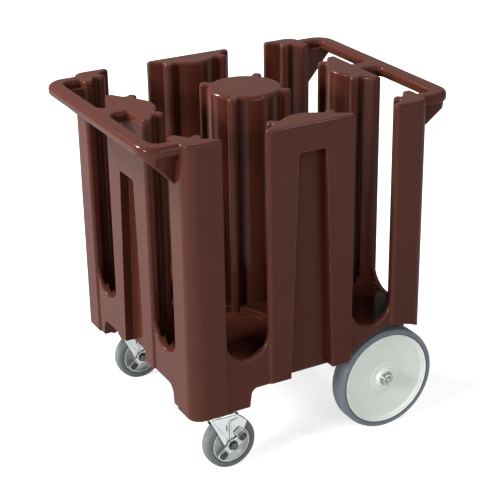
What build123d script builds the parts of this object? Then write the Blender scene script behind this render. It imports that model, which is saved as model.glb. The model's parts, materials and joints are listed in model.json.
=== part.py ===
from build123d import *
from math import sqrt
import os

# Plate dispenser cart: a one-piece moulded body with four open wells for stacks of plates,
# a push handle at each end, two large wheels on a fixed axle and two braked swivel casters.
# Millimetres. +X points to the large wheels, -Y to the front, +Z up. The origin is on the
# floor, under the middle of the body.

os.makedirs("parts", exist_ok=True)

# Clearances
running_fit = 0.05            # radial play of a wheel, lever or fork on its pin
seat_gap = 0.3                # side play between pieces that turn against each other
cut_margin = 1.0              # how far a hollow runs past the face that it opens in

# Body
body_length = 602.0           # along X, without the handles
body_width = 594.0            # along Y
column_top = 806.0            # height of every column above the floor
body_bottom = 212.0           # underside between the legs and the wheel arches
corner_radius = 30.0          # upright edges of the body
skirt_inset = 4.0             # the skirts under the slots stand back from the column faces

# Plate wells
flute_radius = 133.0          # curved flutes of the columns round each well
plate_ring_radius = 114.0     # tips of the ribs, round a plate of 228 mm
seat_radius = 124.0           # sunk round floor that the stack stands on
seat_floor = 286.0            # height of that floor
passage_floor = 300.0         # floor between the wells
end_wall = 8.0                # thinnest wall between a flute and the end face
side_wall = 5.5               # thinnest wall between a flute and the front or back face
well_x = body_length / 2 - flute_radius - end_wall
well_y = body_width / 2 - flute_radius - side_wall

# Slots from the faces into the wells
front_slot_width = 104.0      # in the front and back faces
end_slot_width = 110.5        # in the two end faces
slot_rise = 1.0               # foot of a slot above the sunk floor
slot_floor = seat_floor + slot_rise
slot_lip_depth = 9.0          # thickness of the low wall at the foot of a slot
slot_lip_overlap = 3.0        # how far that wall runs into the columns beside it
slot_edge_radius = 5.0        # rounded outer edge at the foot of a slot

# Columns
rib_width = 22.0
rib_length = 45.0
rib_tip_radius = 9.0
rib_root_radius = 6.0
rim_radius = 6.0              # rounding of the top edges
panel_corner_radius = 8.0     # upright edges beside a slot
wing_end_radius = 7.0
mid_block_depth = 40.0
lobe_rib_reach = 25.0         # rib tips past the round back of a middle column
barrel_rib_gap = 4.2          # tips of the centre column's ribs short of the plate ring
barrel_rib_proud = 21.0       # those ribs past the round of the centre column
barrel_rim_radius = 11.0      # rounding of the centre column's top edge
barrel_rib_reach = sqrt(well_x**2 + well_y**2) - plate_ring_radius - barrel_rib_gap
barrel_radius = barrel_rib_reach - barrel_rib_proud

# Tapered grooves in the faces of the middle columns
groove_depth = 22.0
groove_corner_radius = 8.0
front_groove_top = 744.0
front_groove_top_half = 34.0
front_groove_foot_half = 56.0
end_groove_top = 650.0
end_groove_top_half = 36.0
end_groove_foot_half = 58.0

# Casters
caster_height = 165.0         # floor to the top of the plate
caster_wheel_radius = 63.5
caster_wheel_width = 32.0
caster_hub_radius = 47.0
caster_trail = 38.0           # wheel axle behind the kingpin
leg_length = 149.0            # along X
leg_width = 108.0             # along Y
leg_blend_x = 16.0            # curve from the leg to the underside, along X
leg_blend_y = 24.0
leg_draft = 6.0               # how far a leg's inner sides lean in towards its foot
leg_edge_radius = 5.0         # soft edge round the foot
caster_inset = 1.0            # kingpin inside the middle of the leg
caster_x = leg_length / 2 - body_length / 2
caster_y = body_width / 2 - leg_width / 2 - caster_inset

plate_length = 98.0
plate_width = 82.0
plate_thickness = 3.5
plate_corner_radius = 8.0
plate_bolt_radius = 4.0
plate_bolt_head_radius = 6.5
plate_bolt_head_height = 5.5
plate_bolt_depth = 24.0       # thread above the plate
plate_bolt_hole_spare = 2.0   # hole in the leg deeper than the screw
plate_bolt_span = 76.0        # between screws, along the plate
plate_bolt_reach = 60.0       # between screws, across the plate

race_inner_radius = 15.0
race_radius = 26.0
race_skirt_radius = 30.0
race_skirt_wall = 2.0
race_height = 6.0
ball_count = 12
kingpin_radius = 6.0
kingpin_nut_radius = 9.5
kingpin_nut_height = 8.0

fork_thickness = 3.0
fork_crown_thickness = 4.0
fork_side_gap = 1.5           # between the wheel and each cheek of the fork
fork_front = 18.0             # crown edge ahead of the kingpin
fork_crown_tail = 44.0        # crown edge behind the kingpin
fork_tail_reach = 38.0        # upper rear corner of a cheek, from the wheel's axle
fork_tail_height = 52.0
fork_tail_radius = 5.0
fork_foot_radius = 14.0       # foot of a cheek, round the axle
fork_foot_drop = 9.0
fork_bend_radius = 3.0
fork_slot_width = 3.0
fork_slot_height = 17.0
fork_slot_x = 24.0            # slot behind the kingpin
fork_slot_z = 111.0
fork_panel_proud = 1.2        # pressed front panel of a cheek
fork_panel_margin = 3.0       # panel inside the cheek's front edge
fork_crease_x = 33.0          # rear edge of the panel, behind the kingpin
fork_flange_reach = 52.0      # rear end of the pressed flange under the crown
fork_flange_low = 124.0

axle_bolt_radius = 5.0
axle_bolt_head_radius = 9.0
axle_bolt_head_height = 6.5
axle_nut_radius = 9.0
axle_nut_height = 7.5
axle_bolt_spare = 1.0         # thread past the nut
axle_washer_radius = 11.5
axle_washer_thickness = 1.5
bearing_radius = 8.0
caster_boss_radius = 13.0
caster_rim_thickness = 6.0
caster_rim_setback = 2.0
caster_web_half = 8.0
caster_shoulder_radius = 7.0

lever_thickness = 3.0
lever_half_width = 10.0
lever_boss_radius = 15.0
lever_upper_reach = 40.0      # from the axle to the end of the upper pedal
lever_lower_reach = 43.0
lever_angle = 36.0            # slope of the lever at rest
lever_end_radius = 5.0
pad_length = 17.0
pad_width = 15.0
pad_thickness = 5.0
pad_corner_radius = 4.0
pad_edge_radius = 1.5
rib_count = 4                 # gripping ribs on each pad and on the tread
rib_bar_width = 1.6
rib_bar_proud = 1.2
rib_bar_pitch = 3.6
rib_bar_length = 11.0
tread_length = 19.0           # ribbed tread above the lever's upper end
tread_width = 18.0
tread_across = 15.0           # its middle above the lever's middle line
tread_along = 30.0            # and from the axle
tread_rib_across = 17.0       # middle of its ribs above that line

# Large wheels
wheel_radius = 127.0
wheel_width = 45.0
wheel_recess = 16.0           # outer face of the wheel behind the body's side
wheel_hub_radius = 112.5
wheel_rim_thickness = 9.0
wheel_web_thickness = 7.0
wheel_web_recess = 8.0        # web behind the outer face
wheel_boss_radius = 21.0
wheel_boss_inner = 10.0       # boss past the inner face, towards the body
wheel_step_radius = 36.0
wheel_step_height = 3.0
wheel_rim_setback = 2.0       # rim and boss behind the tyre's side
wheel_dish = 3.0              # web drawn inward at the boss
wheel_shoulder_radius = 8.0
wheel_bush_radius = 12.0
axle_radius = 8.0
axle_end_chamfer = 1.0
wheel_setback = 85.0          # axle ahead of the body's end
axle_x = body_length / 2 - wheel_setback
arch_radius = 147.0           # wheel arch, round the axle
wheel_washer_radius = 17.0
wheel_washer_thickness = 3.0
cap_radius = 14.5
cap_flange_radius = 17.5
cap_height = 8.0
cap_wall = 1.5
cap_edge_radius = 3.0
lug_length = 62.0             # moulded lugs that carry the axle, along Y
lug_top_half = 40.0
lug_radius = 23.0
lug_bury = 5.0                # how far the lugs run up into the body

# Handles
handle_overhang = 79.0        # outer face of the bar past the body's end
handle_bar_width = 37.0
handle_thickness = 26.0
handle_side_inset = 21.0      # arms inside the body's sides
handle_arm_width = 36.0
handle_stem_half = 25.0
handle_corner_radius = 48.0
handle_window_radius = 18.0
handle_edge_radius = 10.0
handle_bury = 16.0            # how far the arms run into the columns
handle_reach = body_length / 2 + handle_overhang
handle_half_width = body_width / 2 - handle_side_inset
handle_root = body_length / 2 - handle_bury

# Sloping web under each arm of a handle
gusset_foot = 711.0           # height where it leaves the body
gusset_foot_inner = 62.0      # its inner and outer sides at the foot, in from the arm's outside
gusset_foot_outer = 27.0
gusset_tip_inner = 50.0       # the same at the bar
gusset_tip_outer = 6.0
gusset_setback = 6.0          # web inside the handle's outer edge
gusset_bury = 8.0             # how far it runs into the body and the arm
gusset_edge_radius = 4.0

# Derived positions
half_length = body_length / 2
half_width = body_width / 2
half_root = sqrt(0.5)
wells = [(x, y) for x in (-well_x, well_x) for y in (-well_y, well_y)]
wheel_outer_y = half_width - wheel_recess
wheel_inner_y = wheel_outer_y - wheel_width
wheel_boss_inner_y = wheel_inner_y - wheel_boss_inner
lug_face_y = wheel_boss_inner_y - wheel_washer_thickness - 2 * seat_gap
axle_half_length = wheel_outer_y - wheel_rim_setback + cap_height - cap_wall
fork_crown_top = caster_height - plate_thickness - 3 * race_height
fork_half_gap = caster_wheel_width / 2 + fork_side_gap
fork_half_width = fork_half_gap + fork_thickness


def save(piece, label):
    """Name a finished piece and write it to its own file."""
    piece.part.label = label
    export_step(piece.part, f"parts/{label}.step")


def diagonal(along, across):
    """Point reached by going along a 45 degree line, then across it to the right."""
    return (along + across) * half_root, (along - across) * half_root


def corners(sketch, points):
    """The sketch's corners that lie nearest to the given points."""
    return [sketch.vertices().sort_by_distance(Vector(*point))[0] for point in points]


# ---------------------------------------------------------------- body moulding


def corner_column_outline():
    """Plan of the corner column at +X +Y, with its flute and its one rib."""
    slot_x = well_x + front_slot_width / 2
    slot_y = well_y + end_slot_width / 2
    wing_y = well_y + sqrt(flute_radius**2 - (front_slot_width / 2) ** 2)
    wing_x = well_x + sqrt(flute_radius**2 - (end_slot_width / 2) ** 2)
    rib_mid = plate_ring_radius + rib_length / 2
    root = sqrt(flute_radius**2 - (rib_width / 2) ** 2)
    with BuildSketch(Plane.XY.offset(caster_height)) as outline:
        with Locations(((slot_x + half_length) / 2, (slot_y + half_width) / 2)):
            Rectangle(half_length - slot_x, half_width - slot_y)
        with Locations((well_x, well_y)):
            Circle(flute_radius, mode=Mode.SUBTRACT)
        with Locations((well_x + rib_mid * half_root, well_y + rib_mid * half_root)):
            Rectangle(rib_length, rib_width, rotation=45)
        tips = [diagonal(plate_ring_radius, side * rib_width / 2) for side in (-1, 1)]
        roots = [diagonal(root, side * rib_width / 2) for side in (-1, 1)]
        fillet(corners(outline, [(well_x + x, well_y + y) for x, y in tips]), rib_tip_radius)
        fillet(corners(outline, [(well_x + x, well_y + y) for x, y in roots]), rib_root_radius)
        fillet(corners(outline, [(slot_x, wing_y), (wing_x, slot_y)]), wing_end_radius)
        panel_ends = [(slot_x, half_width), (half_length, slot_y)]
        fillet(corners(outline, panel_ends), panel_corner_radius)
        fillet(corners(outline, [(half_length, half_width)]), corner_radius)
    return outline.sketch


def mid_column_outline(plane, panel_half, well_along, well_behind):
    """Plan of a column between two wells: first axis along the face, second axis inward."""
    wing = well_behind - sqrt(flute_radius**2 - (well_along - panel_half) ** 2)
    rib_shift = (well_along - well_behind) * half_root
    well_reach = (well_along + well_behind) * half_root
    tip_reach = well_reach - plate_ring_radius
    lobe_radius = tip_reach - lobe_rib_reach
    flute_root = well_reach - sqrt(flute_radius**2 - (rib_width / 2) ** 2)
    lobe_side = rib_shift - rib_width / 2
    flute_side = rib_shift + rib_width / 2
    rib_mid = diagonal(tip_reach - rib_length / 2, rib_shift)
    lobe_root = diagonal(sqrt(lobe_radius**2 - lobe_side**2), lobe_side)
    with BuildSketch(plane) as outline:
        with Locations((0, mid_block_depth / 2)):
            Rectangle(2 * panel_half, mid_block_depth)
        with Locations((-well_along, well_behind), (well_along, well_behind)):
            Circle(flute_radius, mode=Mode.SUBTRACT)
        Circle(lobe_radius)
        for side in (-1, 1):
            with Locations((side * rib_mid[0], rib_mid[1])):
                Rectangle(rib_length, rib_width, rotation=side * 45)
        with Locations((0, -lobe_radius)):
            Rectangle(2 * lobe_radius, 2 * lobe_radius, mode=Mode.SUBTRACT)
        for side in (-1, 1):
            tips = [diagonal(tip_reach, lobe_side), diagonal(tip_reach, flute_side)]
            roots = [lobe_root, diagonal(flute_root, flute_side)]
            fillet(corners(outline, [(side * u, w) for u, w in tips]), rib_tip_radius)
            fillet(corners(outline, [(side * u, w) for u, w in roots]), rib_root_radius)
            fillet(corners(outline, [(side * panel_half, wing)]), wing_end_radius)
            fillet(corners(outline, [(side * panel_half, 0)]), panel_corner_radius)
    return outline.sketch


def barrel_outline():
    """Plan of the centre column with its four ribs."""
    root = sqrt(barrel_radius**2 - (rib_width / 2) ** 2)
    with BuildSketch(Plane.XY.offset(seat_floor)) as outline:
        Circle(barrel_radius)
        for turn in (-45, 45):
            Rectangle(2 * barrel_rib_reach, rib_width, rotation=turn)
        for reach, radius in ((barrel_rib_reach, rib_tip_radius), (root, rib_root_radius)):
            ends = [diagonal(reach, side * rib_width / 2) for side in (-1, 1)]
            turned = [(i * x, j * y) for x, y in ends for i in (-1, 1) for j in (-1, 1)]
            fillet(corners(outline, turned), radius)
    return outline.sketch


def column(plan, low, rounding=rim_radius):
    """Column raised from its plan at the given height, with its top edges rounded."""
    with BuildPart() as raised:
        extrude(plan, amount=column_top - low, dir=(0, 0, 1))
        fillet(raised.faces().sort_by(Axis.Z)[-1].edges(), rounding)
    return raised.part


def centre_column():
    """Round centre column with a soft rim, and its ribs that stand level with the top."""
    with BuildSketch(Plane.XY.offset(seat_floor)) as round_plan:
        Circle(barrel_radius)
    with BuildSketch(Plane.XY.offset(seat_floor)) as rib_plan:
        for turn in (-45, 45):
            Rectangle(2 * barrel_rib_reach, rib_width, rotation=turn)
        ends = [diagonal(barrel_rib_reach, side * rib_width / 2) for side in (-1, 1)]
        turned = [(i * x, j * y) for x, y in ends for i in (-1, 1) for j in (-1, 1)]
        fillet(corners(rib_plan, turned), rib_tip_radius)
    with BuildPart() as ribbed:
        extrude(barrel_outline(), amount=column_top - barrel_rim_radius - seat_floor, dir=(0, 0, 1))
        add(column(round_plan.sketch, seat_floor, barrel_rim_radius))
        add(column(rib_plan.sketch, seat_floor))
    return ribbed.part


# One entry for each face: outward direction, distance of the face, wells along it and behind
# it, slot width, and the groove's top height, top half width and foot half width
front_face = (half_width, well_x, half_width - well_y, front_slot_width,
              front_groove_top, front_groove_top_half, front_groove_foot_half)
end_face = (half_length, well_y, half_length - well_x, end_slot_width,
            end_groove_top, end_groove_top_half, end_groove_foot_half)
faces_of_body = [
    (Vector(0, -1, 0), front_face),
    (Vector(0, 1, 0), front_face),
    (Vector(-1, 0, 0), end_face),
    (Vector(1, 0, 0), end_face),
]

# Handle at +X: a flat frame of two arms, a middle stem and the bar, with a gusset under each arm
with BuildPart() as handle:
    bar_inner = handle_reach - handle_bar_width
    window_low = handle_stem_half
    window_high = handle_half_width - handle_arm_width
    window_mid = (window_low + window_high) / 2
    with BuildSketch(Plane.XY.offset(column_top - handle_thickness)) as frame_plan:
        with Locations(((handle_root + handle_reach) / 2, 0)):
            Rectangle(handle_reach - handle_root, 2 * handle_half_width)
        outer_ends = [(handle_reach, side * handle_half_width) for side in (-1, 1)]
        fillet(corners(frame_plan, outer_ends), handle_corner_radius)
        for side in (-1, 1):
            with Locations(((handle_root + bar_inner) / 2, side * window_mid)):
                Rectangle(bar_inner - handle_root, window_high - window_low, mode=Mode.SUBTRACT)
        window_ends = [(bar_inner, i * y) for i in (-1, 1) for y in (window_low, window_high)]
        fillet(corners(frame_plan, window_ends), handle_window_radius)
    extrude(amount=handle_thickness)
    rounded = handle.faces().filter_by(Axis.Z).edges()
    root_edges = handle.faces().sort_by(Axis.X)[:3].edges()
    fillet(rounded.filter_by(lambda edge: edge not in root_edges), handle_edge_radius)

# Web under one arm: it slopes from the body up to the bar at 45 degrees, wider towards the bar,
# and its plan stays inside the handle's rounded corner
with BuildPart() as gusset:
    gusset_tip = handle_reach - gusset_setback
    slope_length = (gusset_tip - half_length) / half_root
    slope = Plane(origin=(half_length, 0, gusset_foot), x_dir=(0, -1, 0), z_dir=(-1, 0, 1))
    with BuildSketch(slope):
        with BuildLine():
            Polyline(
                (handle_half_width - gusset_foot_inner, -2 * gusset_bury),
                (handle_half_width - gusset_foot_outer, -2 * gusset_bury),
                (handle_half_width - gusset_foot_outer, 0),
                (handle_half_width - gusset_tip_outer, slope_length),
                (handle_half_width - gusset_tip_inner, slope_length),
                (handle_half_width - gusset_foot_inner, 0),
                close=True,
            )
        make_face()
    extrude(amount=slope_length)
    slope_edges = gusset.edges().group_by(Axis((0, 0, 0), (-1, 0, 1)))[0]
    fillet(slope_edges.filter_by(Axis.Y, reverse=True), gusset_edge_radius)
    with BuildSketch(Plane.XY.offset(gusset_foot - 2 * gusset_bury)) as web_plan:
        with Locations(((half_length - gusset_bury + gusset_tip) / 2, -handle_half_width / 2)):
            Rectangle(gusset_tip - half_length + gusset_bury, handle_half_width - 2 * gusset_tip_outer)
        outer_corner = [(gusset_tip, gusset_tip_outer - handle_half_width)]
        fillet(corners(web_plan, outer_corner), handle_corner_radius - gusset_setback)
    arm_middle = column_top - handle_thickness + handle_edge_radius
    extrude(amount=arm_middle - gusset_foot + 2 * gusset_bury, mode=Mode.INTERSECT)

with BuildPart() as body_moulding:
    # Skirt and floor
    with BuildSketch(Plane.XY.offset(caster_height)):
        RectangleRounded(
            body_length - 2 * skirt_inset, body_width - 2 * skirt_inset,
            corner_radius - skirt_inset,
        )
    extrude(amount=passage_floor - caster_height)
    with BuildSketch(Plane.XY.offset(seat_floor)):
        with Locations(wells):
            Circle(seat_radius)
    extrude(amount=passage_floor - seat_floor, mode=Mode.SUBTRACT)

    # Low walls that close the foot of each slot
    for outward, (distance, along, behind, slot_width, *_) in faces_of_body:
        sideways = Vector(0, 0, 1).cross(outward)
        for side in (-1, 1):
            foot = outward * (distance - skirt_inset) + sideways * (side * along)
            lip_plane = Plane(foot + Vector(0, 0, seat_floor), x_dir=sideways, z_dir=(0, 0, 1))
            with BuildSketch(lip_plane):
                with Locations((0, slot_lip_depth / 2)):
                    Rectangle(slot_width + 2 * slot_lip_overlap, slot_lip_depth)
            extrude(amount=slot_floor + slot_width / 2 - seat_floor)

    # Round feet of the slots, with a rounded outer edge
    for outward, (distance, along, behind, slot_width, *_) in faces_of_body:
        sideways = Vector(0, 0, 1).cross(outward)
        for side in (-1, 1):
            centre = sideways * (side * along) + Vector(0, 0, slot_floor + slot_width / 2)
            with BuildSketch(Plane(centre + outward * distance, x_dir=sideways, z_dir=outward)):
                Circle(slot_width / 2)
            extrude(amount=-behind, mode=Mode.SUBTRACT)
            edge = centre + outward * (distance - skirt_inset)
            across = Plane(edge, x_dir=(0, 0, -1), z_dir=sideways)
            outer = across.to_local_coords(edge + outward).Y
            with BuildSketch(across):
                middle = (slot_width + slot_edge_radius - cut_margin) / 2
                with Locations((middle, outer * (cut_margin - slot_edge_radius) / 2)):
                    Rectangle(slot_edge_radius + cut_margin, slot_edge_radius + cut_margin)
                with Locations((slot_width / 2 + slot_edge_radius, -outer * slot_edge_radius)):
                    Circle(slot_edge_radius, mode=Mode.SUBTRACT)
            revolve(axis=Axis(edge, outward), mode=Mode.SUBTRACT)

    # Columns
    add(centre_column())
    quarter = column(corner_column_outline(), caster_height)
    pair = quarter + mirror(quarter, about=Plane.YZ, mode=Mode.PRIVATE)
    add(pair + mirror(pair, about=Plane.XZ, mode=Mode.PRIVATE))
    for outward, (distance, along, behind, slot_width, *_) in faces_of_body:
        face_plane = Plane(
            origin=outward * distance + Vector(0, 0, caster_height),
            x_dir=Vector(0, 0, 1).cross(outward),
            z_dir=(0, 0, 1),
        )
        plan = mid_column_outline(face_plane, along - slot_width / 2, along, behind)
        add(column(plan, caster_height))

    # Underside: everything below it is cut away but the two legs
    underside_low = caster_height - cut_margin
    with BuildSketch(Plane.XZ.offset(-half_width)) as behind_legs:
        with BuildLine():
            Polyline(
                (leg_length - half_length - leg_draft, underside_low),
                (leg_length - half_length, body_bottom),
                (half_length, body_bottom),
                (half_length, underside_low),
                close=True,
            )
        make_face()
        fillet(corners(behind_legs, [(leg_length - half_length, body_bottom)]), leg_blend_x)
    extrude(amount=body_width, mode=Mode.SUBTRACT)
    between_half = half_width - leg_width
    with BuildSketch(Plane.YZ.offset(-half_length)) as between:
        with BuildLine():
            Polyline(
                (-between_half - leg_draft, underside_low),
                (-between_half, body_bottom),
                (between_half, body_bottom),
                (between_half + leg_draft, underside_low),
                close=True,
            )
        make_face()
        ends = [(side * between_half, body_bottom) for side in (-1, 1)]
        fillet(corners(between, ends), leg_blend_y)
    extrude(amount=leg_length + leg_blend_x, mode=Mode.SUBTRACT)

    # Lugs that carry the axle, wheel arches, and the bore
    lug_top = body_bottom + lug_bury
    for side in (-1, 1):
        with BuildSketch(Plane.XZ.offset(-side * lug_face_y)):
            with BuildLine():
                Line((axle_x - lug_top_half, lug_top), (axle_x + lug_top_half, lug_top))
                CenterArc((axle_x, wheel_radius), lug_radius, 180, 180)
            make_hull()
        extrude(amount=side * lug_length)
        with BuildSketch(Plane.XZ.offset(-side * lug_face_y)):
            with Locations((axle_x, wheel_radius)):
                Circle(arch_radius)
        extrude(amount=-side * (half_width - lug_face_y + cut_margin), mode=Mode.SUBTRACT)
    with BuildSketch(Plane.XZ.offset(-half_width)):
        with Locations((axle_x, wheel_radius)):
            Circle(axle_radius + running_fit)
    extrude(amount=body_width, mode=Mode.SUBTRACT)

    # Tapered grooves down the middle columns
    for outward, (distance, *_, groove_top, top_half, foot_half) in faces_of_body:
        upright = Plane(origin=outward * distance, x_dir=Vector(0, 0, 1).cross(outward), z_dir=outward)
        with BuildSketch(upright) as groove:
            with BuildLine():
                Polyline(
                    (-foot_half, underside_low),
                    (foot_half, underside_low),
                    (top_half, groove_top),
                    (-top_half, groove_top),
                    close=True,
                )
            make_face()
            fillet(corners(groove, [(-top_half, groove_top), (top_half, groove_top)]), groove_corner_radius)
        extrude(amount=-groove_depth, mode=Mode.SUBTRACT)

    # Soft edge round the foot of each leg, then the screw holes in it
    feet = body_moulding.faces().filter_by(Axis.Z).group_by(Axis.Z)[0]
    fillet(feet.edges(), leg_edge_radius)
    for y in (-caster_y, caster_y):
        with BuildSketch(Plane.XY.offset(caster_height)):
            with Locations((caster_x, y)):
                with GridLocations(plate_bolt_span, plate_bolt_reach, 2, 2):
                    Circle(plate_bolt_radius + running_fit)
        extrude(amount=plate_bolt_depth + plate_bolt_hole_spare, mode=Mode.SUBTRACT)

    # Handles
    half_frame = handle.part + gusset.part + mirror(gusset.part, about=Plane.XZ, mode=Mode.PRIVATE)
    add(half_frame)
    add(mirror(half_frame, about=Plane.YZ, mode=Mode.PRIVATE))
save(body_moulding, "body_moulding")


# ---------------------------------------------------------------- axle and large wheels


def axial_plane(x, y, z, side):
    """Plane through a wheel's axis: first axis outward along Y, second axis up."""
    return Plane(origin=(x, y, z), x_dir=(0, side, 0), z_dir=(side, 0, 0))


def make_axle():
    """Steel rod through both lugs, which carries the two large wheels."""
    with BuildPart() as axle:
        with BuildSketch(Plane.XZ.offset(-axle_half_length)):
            with Locations((axle_x, wheel_radius)):
                Circle(axle_radius)
        extrude(amount=2 * axle_half_length)
        chamfer(axle.edges().filter_by(GeomType.CIRCLE), axle_end_chamfer)
    save(axle, "wheel_axle")


def make_large_wheel(name, side):
    """Hub, tyre, bush, washer and end cap of one large wheel, outward along side * Y."""
    plane = axial_plane(axle_x, side * wheel_inner_y, wheel_radius, side)
    axis = Axis((axle_x, 0, wheel_radius), (0, 1, 0))
    rim_inner = wheel_hub_radius - wheel_rim_thickness
    web_outer = wheel_width - wheel_web_recess
    web_inner = web_outer - wheel_web_thickness
    rim_outer = wheel_width - wheel_rim_setback
    step_face = web_outer + wheel_step_height

    with BuildPart() as hub:
        with BuildSketch(plane):
            with BuildLine():
                Polyline(
                    (-wheel_boss_inner, wheel_bush_radius),
                    (-wheel_boss_inner, wheel_boss_radius),
                    (web_inner - wheel_dish, wheel_boss_radius),
                    (web_inner, rim_inner),
                    (wheel_rim_setback, rim_inner),
                    (wheel_rim_setback, wheel_hub_radius),
                    (rim_outer, wheel_hub_radius),
                    (rim_outer, rim_inner),
                    (web_outer, rim_inner - wheel_rim_setback),
                    (web_outer - wheel_dish, wheel_step_radius + wheel_step_height),
                    (step_face - wheel_dish, wheel_step_radius),
                    (step_face - wheel_dish, wheel_boss_radius + wheel_step_height),
                    (rim_outer, wheel_boss_radius),
                    (rim_outer, wheel_bush_radius),
                    close=True,
                )
            make_face()
        revolve(axis=axis)
    save(hub, f"{name}_wheel_hub")

    with BuildPart() as tyre:
        with BuildSketch(plane) as section:
            with Locations((wheel_width / 2, (wheel_hub_radius + wheel_radius) / 2)):
                Rectangle(wheel_width, wheel_radius - wheel_hub_radius)
            tread_edges = [(0, wheel_radius), (wheel_width, wheel_radius)]
            fillet(corners(section, tread_edges), wheel_shoulder_radius)
        revolve(axis=axis)
    save(tyre, f"{name}_wheel_tyre")

    with BuildPart() as bush:
        with BuildSketch(plane):
            bush_length = rim_outer + wheel_boss_inner
            bush_wall = wheel_bush_radius - axle_radius - running_fit
            with Locations((rim_outer - bush_length / 2, wheel_bush_radius - bush_wall / 2)):
                Rectangle(bush_length, bush_wall)
        revolve(axis=axis)
    save(bush, f"{name}_wheel_bush")

    with BuildPart() as washer:
        with BuildSketch(Plane.XZ.offset(-side * (lug_face_y + seat_gap))):
            with Locations((axle_x, wheel_radius)):
                Circle(wheel_washer_radius)
                Circle(axle_radius + running_fit, mode=Mode.SUBTRACT)
        extrude(amount=-side * wheel_washer_thickness)
    save(washer, f"{name}_wheel_washer")

    with BuildPart() as cap:
        cap_start = rim_outer + seat_gap
        cap_end = cap_start + cap_height
        with BuildSketch(plane) as cap_section:
            with BuildLine():
                Polyline(
                    (cap_start, axle_radius + running_fit),
                    (cap_start, cap_flange_radius),
                    (cap_start + cap_wall, cap_flange_radius),
                    (cap_start + cap_wall, cap_radius),
                    (cap_end, cap_radius),
                    (cap_end, 0),
                    (cap_end - cap_wall, 0),
                    (cap_end - cap_wall, axle_radius + running_fit),
                    close=True,
                )
            make_face()
            fillet(corners(cap_section, [(cap_end, cap_radius)]), cap_edge_radius)
        revolve(axis=axis)
    save(cap, f"{name}_wheel_cap")


# ---------------------------------------------------------------- casters


def make_caster_plate(name, y):
    """Top plate with its drawn upper race and dust skirt."""
    plate_bottom = caster_height - plate_thickness
    with BuildPart() as plate:
        with BuildSketch(Plane.XY.offset(plate_bottom)):
            with Locations((caster_x, y)):
                RectangleRounded(plate_length, plate_width, plate_corner_radius)
                with GridLocations(plate_bolt_span, plate_bolt_reach, 2, 2):
                    Circle(plate_bolt_radius + running_fit, mode=Mode.SUBTRACT)
        extrude(amount=plate_thickness)
        with BuildSketch(Plane.XY.offset(plate_bottom)):
            with Locations((caster_x, y)):
                Circle(race_radius)
                Circle(race_inner_radius, mode=Mode.SUBTRACT)
        extrude(amount=-race_height)
        with BuildSketch(Plane.XY.offset(plate_bottom)):
            with Locations((caster_x, y)):
                Circle(race_skirt_radius)
                Circle(race_skirt_radius - race_skirt_wall, mode=Mode.SUBTRACT)
        extrude(amount=-2 * race_height)
        with BuildSketch(Plane.XY.offset(plate_bottom)):
            with Locations((caster_x, y)):
                Circle(kingpin_radius + running_fit)
        extrude(amount=plate_thickness, mode=Mode.SUBTRACT)
    save(plate, f"{name}_caster_plate")


def make_plate_bolts(name, y):
    """Four hexagon screws that hold the plate to the foot of the leg."""
    head_low = caster_height - plate_thickness - plate_bolt_head_height
    with BuildPart() as bolts:
        with BuildSketch(Plane.XY.offset(head_low)):
            with Locations((caster_x, y)):
                with GridLocations(plate_bolt_span, plate_bolt_reach, 2, 2):
                    RegularPolygon(plate_bolt_head_radius, 6)
        extrude(amount=plate_bolt_head_height)
        with BuildSketch(Plane.XY.offset(head_low)):
            with Locations((caster_x, y)):
                with GridLocations(plate_bolt_span, plate_bolt_reach, 2, 2):
                    Circle(plate_bolt_radius)
        extrude(amount=plate_bolt_head_height + plate_thickness + plate_bolt_depth)
    save(bolts, f"{name}_caster_plate_bolts")


def make_kingpin(name, y):
    """Upright pin fixed in the plate; its nut holds the fork up."""
    nut_top = fork_crown_top - fork_crown_thickness - seat_gap
    with BuildPart() as kingpin:
        with BuildSketch(Plane.XY.offset(nut_top - kingpin_nut_height)):
            with Locations((caster_x, y)):
                RegularPolygon(kingpin_nut_radius, 6)
        extrude(amount=kingpin_nut_height)
        with BuildSketch(Plane.XY.offset(nut_top)):
            with Locations((caster_x, y)):
                Circle(kingpin_radius)
        extrude(amount=caster_height - nut_top)
    save(kingpin, f"{name}_caster_kingpin")


def make_swivel_balls(name, y):
    """Ring of balls that roll between the two races."""
    ball_ring_radius = (race_inner_radius + race_radius) / 2
    with BuildPart() as balls:
        with Locations((caster_x, y, fork_crown_top + 1.5 * race_height)):
            with PolarLocations(ball_ring_radius, ball_count):
                Sphere(race_height / 2 - running_fit)
    save(balls, f"{name}_caster_balls")


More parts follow.
